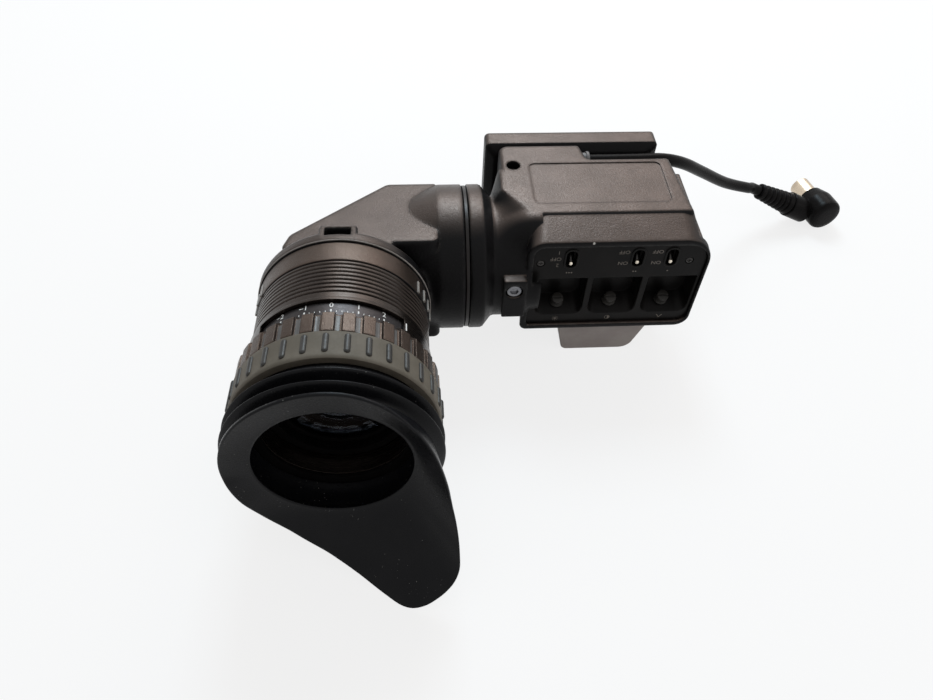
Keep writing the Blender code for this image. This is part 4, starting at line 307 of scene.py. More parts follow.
def rounded(points, radii, steps=8):
    """The outline with each corner turned into an arc of its own radius."""
    outline = []
    for i, corner in enumerate(points):
        here = Vector(corner)
        back = (Vector(points[i - 1]) - here).normalized()
        onward = (Vector(points[(i + 1) % len(points)]) - here).normalized()
        radius = radii[i] if isinstance(radii, (list, tuple)) else radii
        if radius <= 0:
            outline.append(tuple(here))
            continue
        half = back.angle(onward) / 2
        centre = here + (back + onward).normalized() * radius / math.sin(half)
        first = here + back * radius / math.tan(half) - centre
        last = here + onward * radius / math.tan(half) - centre
        swing = first.angle_signed(last)
        for j in range(steps + 1):
            outline.append(tuple(centre + Matrix.Rotation(-swing * j / steps, 2) @ first))
    return outline


def clamped(value):
    """The value kept between 0 and 1."""
    return min(max(value, 0.0), 1.0)


def smoothly(value):
    """The value kept between 0 and 1, and made to start and stop gently."""
    share = clamped(value)
    return share * share * (3 - 2 * share)


def rectangle(left, right_side, low, high):
    """The four corners of an upright rectangle."""
    return [(left, low), (right_side, low), (right_side, high), (left, high)]


def lifted(outline, level, axis):
    """The outline at a level on an axis, as points in space."""
    if axis == "X":
        return [Vector((level, a, b)) for a, b in outline]
    if axis == "Y":
        return [Vector((a, level, b)) for a, b in outline]
    return [Vector((a, b, level)) for a, b in outline]


def join_rows(mesh, rows, around=False, last=None):
    """Faces between each row of vertices and the next; around joins the last row to the first."""
    for one, two in zip(rows, rows[1:] + rows[:1] if around else rows[1:]):
        for i in range(last or len(one)):
            j = (i + 1) % len(one)
            mesh.faces.new((one[i], one[j], two[j], two[i]))


def loft(*rings):
    """A solid through rings of equal count, its ends closed."""
    mesh = bmesh.new()
    made = [[mesh.verts.new(point) for point in ring] for ring in rings]
    join_rows(mesh, made)
    mesh.faces.new(made[0])
    mesh.faces.new(made[-1])
    bmesh.ops.recalc_face_normals(mesh, faces=mesh.faces)
    return mesh


def layered(axis, *layers):
    """A solid through (outline, level) pairs along an axis."""
    return loft(*(lifted(outline, level, axis) for outline, level in layers))


def prism(outline, low, high, axis="Z"):
    """The outline extruded from low to high."""
    return layered(axis, (outline, low), (outline, high))


def box(x0, x1, y0, y1, z0, z1):
    """A plain block between two places on each axis."""
    return prism(rectangle(x0, x1, y0, y1), z0, z1)


def turned(profile, steps=128, axis="Z", start=0.0, sweep=360.0):
    """A profile of (radius, place along the axis) spun round an axis."""
    along = {"X": Vector((1, 0, 0)), "Y": Vector((0, 1, 0)), "Z": Vector((0, 0, 1))}[axis]
    first = {"X": Vector((0, 1, 0)), "Y": Vector((1, 0, 0)), "Z": Vector((1, 0, 0))}[axis]
    whole = sweep == 360
    mesh = bmesh.new()
    rings = []
    for k in range(steps if whole else steps + 1):
        angle = math.radians(start + sweep * k / steps)
        arm = Matrix.Rotation(angle, 3, along) @ first
        rings.append([mesh.verts.new(arm * radius + along * place) for radius, place in profile])
    hollow = all(radius > 0 for radius, _ in profile)
    join_rows(mesh, rings, around=whole, last=len(profile) if hollow else len(profile) - 1)
    if not whole:
        mesh.faces.new(rings[0])
        mesh.faces.new(rings[-1])
    bmesh.ops.remove_doubles(mesh, verts=mesh.verts, dist=1e-7)
    bmesh.ops.dissolve_degenerate(mesh, dist=1e-8, edges=mesh.edges)
    bmesh.ops.recalc_face_normals(mesh, faces=mesh.faces)
    return mesh


def ring(bore, radius, low, high, bevel=0.0, steps=128, axis="Z"):
    """A ring round an axis, its outer corners eased by a bevel."""
    corners = [(radius, low), (radius, high)]
    if bevel > 0:
        corners = [
            (radius - bevel, low), (radius - 0.3 * bevel, low + 0.3 * bevel), (radius, low + bevel),
            (radius, high - bevel), (radius - 0.3 * bevel, high - 0.3 * bevel), (radius - bevel, high),
        ]
    return turned([(bore, low)] + corners + [(bore, high)], steps, axis)


def rod(radius, low, high, steps=32, axis="Z", bevel=0.0):
    """A round bar: a ring without a bore."""
    return ring(0, radius, low, high, bevel, steps, axis)


def placed(mesh, move):
    """The mesh taken to its place by a matrix."""
    mesh.transform(move)
    return mesh


def shift(x=0.0, y=0.0, z=0.0):
    """A plain move."""
    return Matrix.Translation((x, y, z))


def spun(degrees, axis):
    """A turn about one of the three axes."""
    return Matrix.Rotation(math.radians(degrees), 4, axis)


def cuts_at(places, tool):
    """The same cut at several places: tool makes its mesh anew for each."""
    return [placed(tool(), shift(*place)) for place in places]


def stock(name, mesh):
    """A loose object from a bmesh, to be cut, joined or finished."""
    data = bpy.data.meshes.new(name)
    mesh.to_mesh(data)
    mesh.free()
    return new_object(name, data)


def eased(mesh, width, segments=3, angle=30):
    """The mesh with its edges rounded by a Bevel modifier."""
    made = stock("eased", mesh)
    step = made.modifiers.new("edges", "BEVEL")
    step.width = width
    step.segments = segments
    step.limit_method = "ANGLE"
    step.angle_limit = math.radians(angle)
    return evaluated(made)


def evaluated(made):
    """The modifiers' result as a bmesh; the object is removed."""
    bpy.context.view_layer.update()
    graph = bpy.context.evaluated_depsgraph_get()
    result = bpy.data.meshes.new_from_object(made.evaluated_get(graph))
    mesh = bmesh.new()
    mesh.from_mesh(result)
    bpy.data.meshes.remove(result)
    bpy.data.objects.remove(made, do_unlink=True)
    return mesh


def machined(mesh, joins=(), cuts=()):
    """The mesh with others joined to it in their order, and then others cut from it."""
    made = stock("work", mesh)
    others = []
    for i, other_mesh in enumerate([*joins, *cuts]):
        other = stock(f"tool_{i}", other_mesh)
        step = made.modifiers.new(other.name, "BOOLEAN")
        step.object = other
        step.operation = "UNION" if i < len(joins) else "DIFFERENCE"
        step.solver = "EXACT"
        others.append(other)
    result = evaluated(made)
    for other in others:
        bpy.data.objects.remove(other, do_unlink=True)
    return result


def finish_piece(name, mesh, place, body, look, replaces=(), sharp=24, weighted=True):
    """The mesh as a named piece in its place, shaded smooth up to sharp edges."""
    mesh.transform(place)
    bmesh.ops.remove_doubles(mesh, verts=mesh.verts, dist=2e-7)
    made = stock(name, mesh)
    data = made.data
    data.materials.append(look)
    data.shade_smooth()
    data.set_sharp_from_angle(angle=math.radians(sharp))
    if weighted:
        step = made.modifiers.new("even_shading", "WEIGHTED_NORMAL")
        step.keep_sharp = True
        step.weight = 80
    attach(made, body)
    if replaces:
        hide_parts(*replaces)
    print(name, len(data.polygons), "faces")
    return made


print("operations ready")

# %% [markdown]
# Screws, ribs, flutes, grip bars and scale marks are one small form many times over. A Geometry
# Nodes tree does this best: it takes one form, a count, a step along a line and a step in
# angle, and puts a copy at each point. The copies are made real and take their finish, so that
# the result is a mesh.

# %% A tree that repeats a form


def repeating_tree():
    """Copies of one object: a step along a line and a turn about Z for each."""
    tree = bpy.data.node_groups.new("repeat_form", "GeometryNodeTree")
    ports = tree.interface
    ports.new_socket("Geometry", in_out="OUTPUT", socket_type="NodeSocketGeometry")
    ports.new_socket("Geometry", in_out="INPUT", socket_type="NodeSocketGeometry")
    for label, kind in (
        ("Form", "NodeSocketObject"), ("Count", "NodeSocketInt"), ("Step", "NodeSocketVector"),
        ("First Angle", "NodeSocketFloat"), ("Step Angle", "NodeSocketFloat"), ("Finish", "NodeSocketMaterial"),
    ):
        ports.new_socket(label, in_out="INPUT", socket_type=kind)
    made = {
        label: tree.nodes.new(kind)
        for label, kind in (
            ("given", "NodeGroupInput"), ("points", "GeometryNodeMeshLine"), ("form", "GeometryNodeObjectInfo"),
            ("index", "GeometryNodeInputIndex"), ("angle", "ShaderNodeMath"), ("turn", "ShaderNodeCombineXYZ"),
            ("rotation", "FunctionNodeEulerToRotation"), ("copies", "GeometryNodeInstanceOnPoints"),
            ("real", "GeometryNodeRealizeInstances"), ("finish", "GeometryNodeSetMaterial"),
            ("result", "NodeGroupOutput"),
        )
    }
    made["angle"].operation = "MULTIPLY_ADD"
    for source, out, target, into in (
        ("given", "Count", "points", "Count"), ("given", "Step", "points", "Offset"),
        ("given", "Form", "form", "Object"), ("index", 0, "angle", 0), ("given", "Step Angle", "angle", 1),
        ("given", "First Angle", "angle", 2), ("angle", 0, "turn", "Z"), ("turn", 0, "rotation", 0),
        ("points", 0, "copies", "Points"), ("form", "Geometry", "copies", "Instance"),
        ("rotation", 0, "copies", "Rotation"), ("copies", 0, "real", 0), ("real", 0, "finish", "Geometry"),
        ("given", "Finish", "finish", "Material"), ("finish", 0, "result", 0),
    ):
        tree.links.new(made[source].outputs[out], made[target].inputs[into])
    return tree


repeat_form = repeating_tree()


def repeated(mesh, count, finish, step=(0, 0, 0), first=0.0, turn=0.0):
    """The form repeated: step is a move for each copy, first and turn are degrees about Z."""
    form = stock("form", mesh)
    carrier = new_object("carrier", bpy.data.meshes.new("carrier"))
    modifier = carrier.modifiers.new("repeat", "NODES")
    modifier.node_group = repeat_form
    values = {
        "Form": form, "Count": count, "Step": step, "First Angle": math.radians(first),
        "Step Angle": math.radians(turn), "Finish": finish,
    }
    for item in repeat_form.interface.items_tree:
        if item.item_type == "SOCKET" and item.in_out == "INPUT" and item.name in values:
            modifier[item.identifier] = values[item.name]
    result = evaluated(carrier)
    bpy.data.objects.remove(form, do_unlink=True)
    return result


print("repeat tree has", len(repeat_form.nodes), "nodes")

# %% [markdown]
# The castings wear one paint, sprayed over a metal that was never quite smooth. Its colour
# holds a painted sheen and a painted shade: surfaces that face up and back are painted a
# metallic brown, as if they caught the light from behind, and the others are painted nearly
# black, as if in shade. The relief has three sizes: a faint unevenness a few millimetres wide,
# the grain of the spray, and a sparkle finer than that. Where hands and benches meet the edges
# the paint has polished lighter, and a few flecks are chipped to the pale metal.

# %% Paint
# The facing that gets the painted sheen, and the near black painted as shade on the rest.
PAINTED_SHEEN_FACING = (-0.12, 0.42, 0.90)
PAINTED_SHADE_BLACK, POLISHED, FLECK, BARE_METAL = (
    (0.0060, 0.0056, 0.0060), (0.13, 0.12, 0.11), (0.30, 0.28, 0.26), (0.62, 0.60, 0.56),
)
EDGE_WEAR = 0.35


def cast_paint(name, base, light, rough=0.36, grain=1400.0, edge_radius=0.0010, chips=(), spread=(0.50, 0.85)):
    """Paint on a casting with a painted sheen: chips are (place, reach), spread is the range over which the
    painted sheen comes.
    """
    look = Finish(name, Specular_IOR_Level=0.08)
    facing = look.node("ShaderNodeTexCoord", out="Normal")
    # Painted sheen: faces turned up and back get the brown and the metal, as if lit; the rest get painted shade.
    painted_sheen = look.smooth(look.measured("DOT_PRODUCT", facing, PAINTED_SHEEN_FACING), *spread)
    rounded_normal = look.soft_edges(edge_radius)
    edge = look.smooth(look.edges(rounded_normal), 0.02, 0.30)
    cloud = look.noise(70, 4, 0.6)
    spray = look.noise(grain, 3, 0.65)
    sparkle = look.noise(grain * 2.7, 1, 0.5)
    rub = look.smooth(edge * look.smooth(look.noise(260, 4, 0.7), 0.38, 0.62), 0.15, 0.9)
    colour = look.mix(look.smooth(cloud, 0.35, 0.7), base, light)
    colour = look.mix(painted_sheen, PAINTED_SHADE_BLACK, colour)
    colour = look.mix(rub * EDGE_WEAR, colour, POLISHED)
    fleck = look.smooth(look.noise(2600, 2, 0.5), 0.71, 0.75) * look.smooth(look.noise(40, 2), 0.52, 0.66)
    colour = look.mix(fleck * 0.5, colour, FLECK)
    bare = None
    for place, reach in chips:
        away = look.measured("DISTANCE", look.place, place)
        ragged = away + (look.noise(900, 2) - 0.5) * reach * 1.6
        near = look.smooth(ragged, reach * 0.45, reach * 0.30)
        bare = near if bare is None else bare.sum("MAXIMUM", bare, near)
    if bare is not None:
        colour = look.mix(bare, colour, BARE_METAL)
    look.feed("Base Color", colour)
    look.feed("Metallic", painted_sheen * look.smooth(sparkle, 0.3, 0.7, 0.80, 1.0))
    look.feed("Roughness", look.smooth(spray, 0.3, 0.7, rough - 0.06, rough + 0.08) - rub * 0.08)
    height = spray * 0.7 + sparkle * 0.3 + cloud * 0.5
    look.feed("Normal", look.relief(height, 0.00030, 0.52, rounded_normal))
    return look.look


# A paint's two browns show only where its painted sheen falls; elsewhere the painted shade is near black.
housing_chips = (
    ((0.0792, 0.0262, 0.0700), 0.0009), ((0.0865, 0.0268, 0.0690), 0.0011), ((0.0425, 0.0228, 0.0668), 0.0011),
)
housing_paint = cast_paint(
    "housing_paint", (0.056, 0.0440, 0.0385), (0.068, 0.0530, 0.0465), edge_radius=0.0018, chips=housing_chips,
)
elbow_paint = cast_paint("elbow_paint", (0.054, 0.0430, 0.0380), (0.064, 0.0510, 0.0450), edge_radius=0.0028)
ring_paint = cast_paint(
    "ring_paint", (0.058, 0.0430, 0.0350), (0.072, 0.0530, 0.0430), rough=0.34, grain=1900.0, edge_radius=0.0004,
    spread=(0.0, 0.6),
)
print("paint", housing_paint.name, elbow_paint.name, ring_paint.name)

# %% [markdown]
# The other finishes are simpler: a base colour that drifts a little, a roughness that follows
# a grain, and a fine relief. One recipe makes them all, with the numbers of each material.

# %% Plain finishes


def plain_finish(
    name, base, light, rough, metallic=0.0, level=0.30, grain=1200.0, relief=0.00008, strength=0.3, edge=0.0003,
):
    """A finish whose colour drifts between two tones over a fine grain."""
    look = Finish(name, Metallic=metallic, Specular_IOR_Level=level)
    cloud = look.noise(90, 3, 0.55)
    fine = look.noise(grain, 3, 0.6)
    look.feed("Base Color", look.mix(look.smooth(cloud, 0.35, 0.68), base, light))
    look.feed("Roughness", look.smooth(fine, 0.3, 0.7, rough - 0.05, rough + 0.06))
    height = fine + cloud * 0.4
    normal = look.soft_edges(edge) if edge else None
    look.feed("Normal", look.relief(height, relief, strength, normal))
    return look.look


def turned_metal(name, base, rough, level, metallic):
    """Metal off the lathe: fine rings across the eyepiece axis."""
    look = Finish(name, Metallic=metallic, Specular_IOR_Level=level)
    across, lines = 60, 5200
    sockets = {
        "Vector": look.place, "Location": tuple(eyepiece_frame.translation),
        "Rotation": tuple(eyepiece_frame.to_euler()), "Scale": (1 / across, 1 / across, 1 / lines),
    }
    place = look.node("ShaderNodeMapping", {"vector_type": "TEXTURE"}, sockets)
    rings = look.noise(1.0, 3, 0.6, place)
    cloud = look.noise(150, 3, 0.6)
    light = tuple(min(1.0, v * 1.35) for v in base)
    look.feed("Base Color", look.mix(look.smooth(cloud, 0.3, 0.7), base, light))
    look.feed("Roughness", look.smooth(rings, 0.3, 0.7, rough - 0.06, rough + 0.08))
    look.feed("Normal", look.relief(rings, 0.00006, 0.35, look.soft_edges(0.0002)))
    return look.look


black_plastic = plain_finish(
    "black_plastic", (0.0050, 0.0045, 0.0043), (0.0080, 0.0070, 0.0067), 0.34, level=0.08, grain=2200,
)
nickel = plain_finish("nickel", (0.52, 0.43, 0.33), (0.64, 0.54, 0.42), 0.28, metallic=1.0)
worn_metal = plain_finish("worn_metal", (0.10, 0.105, 0.12), (0.22, 0.22, 0.23), 0.30, metallic=0.9)
matte_black = plain_finish("matte_black", (0.0030, 0.0028, 0.0028), (0.0045, 0.0042, 0.0042), 0.60, level=0.04)
knob_plastic = plain_finish(
    "knob_plastic", (0.026, 0.024, 0.022), (0.036, 0.033, 0.030), 0.34, level=0.15, grain=1600,
)
barrel_metal = turned_metal("barrel_metal", (0.034, 0.0275, 0.0240), 0.25, level=0.10, metallic=0.9)
black_metal = plain_finish(
    "black_metal", (0.030, 0.028, 0.027), (0.045, 0.042, 0.040), 0.34, metallic=0.7, level=0.4,
)
bright_metal = plain_finish("bright_metal", (0.60, 0.54, 0.45), (0.72, 0.66, 0.56), 0.28, metallic=1.0, level=0.5)
white_mark = plain_finish("white_mark", (0.78, 0.77, 0.74), (0.90, 0.89, 0.86), 0.55, edge=0)
grey_mark = plain_finish("grey_mark", (0.17, 0.150, 0.130), (0.23, 0.20, 0.18), 0.6, level=0.1, edge=0)
enamel = plain_finish(
    "enamel", (0.030, 0.027, 0.028), (0.040, 0.036, 0.036), 0.34, metallic=0.8, level=0.2, grain=900,
)
grip_grey = plain_finish("grip_grey", (0.22, 0.20, 0.18), (0.30, 0.27, 0.25), 0.42)
# The grey of the painted highlight in the flutes.
flute_highlight_grey = plain_finish("flute_highlight_grey", (0.070, 0.066, 0.063), (0.100, 0.094, 0.090), 0.36, level=0.35)
ring_rubber = plain_finish(
    "ring_rubber", (0.104, 0.090, 0.070), (0.136, 0.118, 0.094), 0.62, level=0.20, grain=1400,
)
rib_rubber = plain_finish(
    "rib_rubber", (0.024, 0.0225, 0.0210), (0.036, 0.034, 0.031), 0.40, level=0.25, grain=1400,
)
lamp_grey = plain_finish("lamp_grey", (0.290, 0.250, 0.235), (0.340, 0.300, 0.280), 0.34, level=0.30, grain=700)
light_ring = plain_finish("light_ring", (0.012, 0.0105, 0.0100), (0.018, 0.016, 0.015), 0.36, metallic=0.6)
jacket = plain_finish("jacket", (0.0050, 0.0044, 0.0044), (0.0080, 0.0070, 0.0070), 0.28, level=0.05, grain=900)
gland_grey = plain_finish("gland_grey", (0.13, 0.12, 0.12), (0.17, 0.16, 0.155), 0.42)
print("finishes", len(bpy.data.materials))

# %% [markdown]
# The eyecup is a soft black rubber, a little bloomed and dusty: matte, with a slow unevenness,
# a fine skin, and a few pale specks of dust.

# %% Rubber of the eyecup
cup_rubber = Finish("cup_rubber", Metallic=0.0, Specular_IOR_Level=0.11)
skin = cup_rubber.noise(1700, 3, 0.6)
bloom = cup_rubber.noise(55, 4, 0.6)
specks = cup_rubber.smooth(cup_rubber.noise(1500, 1, 0.4), 0.745, 0.77)
dusty_places = cup_rubber.smooth(cup_rubber.noise(75, 2), 0.5, 0.62)
RUBBER, BLOOMED, DUST = (0.0028, 0.0029, 0.0038), (0.0052, 0.0052, 0.0062), (0.25, 0.24, 0.23)
rubber_colour = cup_rubber.mix(cup_rubber.smooth(bloom, 0.35, 0.7), RUBBER, BLOOMED)
rubber_colour = cup_rubber.mix(specks * dusty_places * 0.7, rubber_colour, DUST)
cup_rubber.feed("Base Color", rubber_colour)
cup_rubber.feed("Roughness", cup_rubber.smooth(skin, 0.3, 0.7, 0.26, 0.38))
cup_rubber.feed("Normal", cup_rubber.relief(skin + bloom * 0.6, 0.00012, 0.35, cup_rubber.soft_edges(0.0003)))
eyecup_rubber = cup_rubber.look
print("rubber ready")

# %% [markdown]
# The elbow is one casting: a flat box that holds the mirror, a round boss toward the swivel,
# a round flange toward the eyepiece, and a lug for the latch. It is built from the same
# outlines as the model, with rounder edges, so that light rolls over them. A hair-thin pale
# ring on the flange's front edge is a painted highlight, the light line that edge catches.
# CLEAR is the play between two parts, and PAST is how far a cut runs on beyond the surface
# that it opens.

# %% Elbow casting
TUBE = 0.0305
CLEAR, PAST = 0.0003, 0.002
BOX_HALF, BOX_BACK, BOX_FRONT = 0.0260, 0.0173, -0.0265
BOX_STEP_X, BOX_STEP_Y = -0.0290, -0.0228
BOX_LEFT, BOX_RIGHT = -0.0720, -0.0112
SLANT_START, SLANT_END = (-0.0690, -0.0165), (-0.0320, BOX_BACK)
SLANT = (0.0370, 0.0338)
FLANGE, FLANGE_FRONT = 0.0340, 0.0310
BASE_RADIUS, BASE_FRONT = 0.0331, 0.0413
EAR_IN, EAR_OUT, HINGE_DROP, HINGE_REACH, HINGE_ROUND = 0.0051, 0.0092, 0.0372, 0.03115, 0.0027
LUG_LEFT, LUG_RIGHT, LUG_FRONT, LUG_BACK, LUG_TOP = -0.0563, -0.0419, -0.0300, -0.0212, 0.0336

plan = [
    (BOX_RIGHT, BOX_BACK), (BOX_RIGHT, BOX_STEP_Y), (BOX_STEP_X, BOX_STEP_Y), (BOX_STEP_X, BOX_FRONT),
    (BOX_LEFT, BOX_FRONT), SLANT_START, SLANT_END,
]
plan = rounded(plan, [0, 0.0030, 0, 0.0012, 0.0030, 0.0060, 0.0045], 8)
box_body = eased(prism(plan, -BOX_HALF, BOX_HALF), 0.0024, 8, 40)
boss = turned([
    (0, -0.0230), (0.0257, -0.0230), (0.0264, -0.0224), (TUBE - 0.0006, -0.0122), (TUBE - 0.0001, -0.0112),
    (TUBE, -0.0104), (TUBE, -0.0016), (TUBE - 0.0002, -0.0012), (TUBE - 0.0006, -0.0010), (0.0261, -0.0010),
    (0.0261, 0.0065), (0.0223, 0.0065), (0.0223, 0.0088), (0, 0.0088),
], 144, "X")
flange = turned([
    (0, 0.0242), (FLANGE - 0.0026, 0.0242), (FLANGE - 0.0012, 0.0250), (FLANGE - 0.0003, 0.0260),
    (FLANGE, 0.0270), (FLANGE, FLANGE_FRONT - 0.0003), (FLANGE - 0.0001, FLANGE_FRONT - 0.0001),
    (FLANGE - 0.0003, FLANGE_FRONT), (0, FLANGE_FRONT),
], 160)
to_eye = shift(EYE_X) @ spun(90, "X")
lug = eased(box(LUG_LEFT, LUG_RIGHT, LUG_FRONT, LUG_BACK, BOX_HALF - 0.0020, LUG_TOP), 0.0012, 5)
ear_outline = rounded([
    (-0.0250, -0.0300), (-0.0250, -HINGE_DROP - HINGE_ROUND * 0.4),
    (-HINGE_REACH + HINGE_ROUND * 0.3, -HINGE_DROP - HINGE_ROUND),
    (-HINGE_REACH - HINGE_ROUND, -HINGE_DROP - HINGE_ROUND),
    (-HINGE_REACH - HINGE_ROUND, -HINGE_DROP + HINGE_ROUND), (-FLANGE_FRONT + CLEAR, -HINGE_DROP + HINGE_ROUND),
    (-FLANGE_FRONT + CLEAR, -0.0300),
], [0, HINGE_ROUND / 2, 0, HINGE_ROUND * 0.9, HINGE_ROUND * 0.9, 0, 0], 8)
ears = [
    prism(ear_outline, EYE_X + low, EYE_X + high, "X") for low, high in ((-EAR_OUT, -EAR_IN), (EAR_IN, EAR_OUT))
]
WALL = 0.0022
slant = Vector(SLANT).normalized()
inward = Vector((slant.y, -slant.x))
slant_start = Vector(SLANT_START) + inward * WALL
slant_end = Vector(SLANT_END) + inward * WALL
room_back, room_left = BOX_BACK - WALL, BOX_LEFT + 2 * WALL
mirror_room = [
    (-0.0130, room_back), (-0.0130, BOX_STEP_Y + WALL), (BOX_STEP_X - WALL, BOX_STEP_Y + WALL),
    (BOX_STEP_X - WALL, BOX_FRONT + 2 * WALL), (room_left, BOX_FRONT + 2 * WALL),
    (room_left, slant_start.y + (room_left - slant_start.x) * slant.y / slant.x),
    (slant_end.x + (room_back - slant_end.y) * slant.x / slant.y, room_back),
]
LIGHT_BORE, PIN_RADIUS = 0.0190, 0.0015
light_bore = rod(LIGHT_BORE, -0.0150, 0.0108, 96, "X")
eye_bore = placed(rod(LIGHT_BORE, 0.0199, 0.0330, 96), to_eye)
base_gap = placed(ring(0.0170, BASE_RADIUS + 0.0009, FLANGE_FRONT + 0.00015, BASE_FRONT + PAST), to_eye)
latch_window = eased(box(-0.0541, -0.0441, LUG_FRONT + WALL, LUG_BACK - 0.00176, 0.0268, 0.0356), 0.0005, 2)
latch_way = box(EYE_X - 0.0051, EYE_X + 0.0051, -0.0330, LUG_FRONT + 2 * WALL, 0.0280, 0.0317)
pin_hole = placed(rod(PIN_RADIUS, -0.0112, 0.0112, 24, "X"), shift(EYE_X, -HINGE_REACH, -HINGE_DROP))
mirror_hollow = prism(mirror_room, -BOX_HALF + WALL, BOX_HALF - WALL)
elbow = machined(
    box_body, [boss, placed(flange, to_eye), lug, *ears],
    [mirror_hollow, light_bore, eye_bore, base_gap, latch_window, latch_way, pin_hole],
)
finish_piece(
    "elbow_casting", elbow, elbow_frame, "elbow", elbow_paint, ["elbow_shell"], sharp=12,
)
# A pale ring painted on the flange's front edge as its highlight.
painted_highlight_ring = [
    (FLANGE - 0.0004, 0.03098), (FLANGE - 0.0003, FLANGE_FRONT + 0.00002), (FLANGE - 0.00008, 0.03092),
    (FLANGE + 0.00002, 0.0307), (FLANGE - 0.00006, 0.0306),
]
finish_piece(
    "flange_worn_edge", turned(painted_highlight_ring, 160), eyepiece_frame, "elbow", grip_grey, weighted=False,
)

# %% [markdown]
# The display housing starts as a round neck and turns into a box with a sloped front block.
# Between neck and top a soft ramp grows from the round into the flat. The pockets matter as
# much as the outside: the recess for the controls, the shallow bed in the flat top, the seat
# of the end cover, and the holes for screws and cord.

# %% Display housing
BODY_TOP, BODY_LOW, BLOCK_FRONT = 0.0305, -0.0236, -0.0220
BLOCK_LEFT, BLOCK_RIGHT, FRONT_TOP = 0.0236, 0.0982, 0.0274
CORNER_RIGHT, CORNER_LEFT = 0.0125, 0.0070
body_plans = [
    rounded([
        (0.0160, 0.0080), (0.0270 - ramp, -0.0050), (0.0270 - ramp, -0.0090), (0.0920, -0.0090), (0.0890, 0.0272),
        (0.0535, 0.0272), (0.0515, 0.0370), (0.0160, 0.0370),
    ], [0.0040, 0.0040, 0, 0, 0.0022, 0.0022, 0.0022, 0.0040], 6)
    for ramp in (0.0060, 0.0)
]
body_layers = zip((body_plans[0], body_plans[0], body_plans[1]), (BODY_LOW, 0.0228, BODY_TOP))
body_block = eased(layered("Z", *body_layers), 0.0024, 6, 50)
neck = turned([
    (0, 0.0010), (TUBE - 0.0006, 0.0010), (TUBE - 0.0002, 0.0012), (TUBE, 0.0016), (TUBE, 0.0060),
    (TUBE - 0.0004, 0.0070), (TUBE - 0.0014, 0.0078), (0.0266, 0.0098), (0.0256, 0.0108), (0.0253, 0.0120),
    (0.0253, 0.0290), (0, 0.0290),
], 144, "X")


def flare():
    """The soft ramp between the round neck and the flat top: a circle that grows into a plane."""
    start, end, neck_radius, flat_level = 0.0112, 0.0300, 0.0252, 0.03045
    longest, shortened, bend_start, bend_width = 0.0150, 0.0104, -0.0050, 0.0120
    steps, steps_around = 24, 180
    rings = []
    for k in range(steps + 1):
        x = start + (end - start) * k / steps
        points = []
        for j in range(steps_around):
            angle = 2 * math.pi * j / steps_around
            lean = min(angle, 2 * math.pi - angle)
            front = angle > math.pi
            full, none = (math.radians(13), math.radians(44)) if front else (math.radians(30), math.radians(62))
            across = BODY_TOP * math.tan(min(lean, 1.0)) * (-1 if front else 1)
            reach = longest - shortened * clamped((across - bend_start) / bend_width)
            weight = 1 - smoothly((lean - full) / (none - full))
            flat_top = flat_level / max(math.cos(lean), 0.5)
            radius = neck_radius + (flat_top - neck_radius) * smoothly((x - start) / reach) * weight
            points.append(Vector((x, radius * math.sin(angle), radius * math.cos(angle))))
        rings.append(points)
    mesh = loft(*rings)
    bmesh.ops.triangulate(mesh, faces=mesh.faces)
    return mesh


def block_outline(left, high, shrink=0.0):
    """The front block's outline at one depth."""
    return rounded(
        rectangle(left + shrink, BLOCK_RIGHT - shrink, BODY_LOW + shrink, high - shrink),
        [0.0030 - shrink, 0.0060 - shrink, CORNER_RIGHT - shrink, CORNER_LEFT - shrink], 12,
    )


front_block = layered(
    "Y", (block_outline(BLOCK_LEFT, FRONT_TOP, 0.0007), BLOCK_FRONT),
    (block_outline(BLOCK_LEFT, FRONT_TOP, 0.0002), BLOCK_FRONT + 0.0002),
    (block_outline(BLOCK_LEFT, FRONT_TOP), BLOCK_FRONT + 0.0007),
    (block_outline(BLOCK_LEFT + 0.0020, 0.0302), -0.0060),
)
PANEL_FACE, POCKET_BACK, RIM, RIM_RIGHT = -0.0206, -0.0105, 0.0026, 0.0010
PANEL_LEFT = BLOCK_LEFT + RIM


def pocket_outline(left, inset=0.0):
    """The outline of the recess for the controls, or of the panel in it."""
    return rounded(
        rectangle(left + inset, BLOCK_RIGHT - RIM_RIGHT - inset, BODY_LOW + RIM + inset, FRONT_TOP - RIM - inset),
        [0.0015, 0.0050 - inset, CORNER_RIGHT - RIM - inset, CORNER_LEFT - RIM - inset], 12,
    )


CASING_HOLE = (0.0213, 0.0226)
casing_hole = placed(rod(0.0029, BODY_TOP - 0.0060, BODY_TOP + PAST, 48), shift(*CASING_HOLE))
clamp_boss = eased(box(0.0144, 0.0240, -0.0268, -0.0202, -0.0098, 0.0112), 0.0006, 3)
CLAMP_X, CLAMP_Z = 0.0189, 0.0054
clamp_pocket = placed(rod(0.0036, -0.0288, -0.0248, 48, "Y"), shift(CLAMP_X, 0, CLAMP_Z))
SCREW_PLACES = ((0.0250, 0, -0.0120), (0.0440, 0, 0.0140))
plate_holes = cuts_at(SCREW_PLACES, lambda: rod(0.0018, 0.0312, 0.0390, 24, "Y"))
top_bed = prism(
    rounded(rectangle(0.0278, 0.0840, -0.0019, 0.0238), 0.0027, 10), BODY_TOP - 0.0004, BODY_TOP + PAST,
)
light_way = turned([
    (0, -0.001), (0.0264, -0.001), (0.0264, 0.0068), (0.0226, 0.0068), (0.0226, 0.0088), (0.0234, 0.0088),
    (0.0234, 0.0232), (0.0094, 0.0232), (0.0094, 0.0310), (0, 0.0310),
], 96, "X")
control_recess = layered(
    "Y", (pocket_outline(PANEL_LEFT), BLOCK_FRONT - PAST), (pocket_outline(PANEL_LEFT), PANEL_FACE + 0.0020),
    (pocket_outline(0.0278), POCKET_BACK),
)
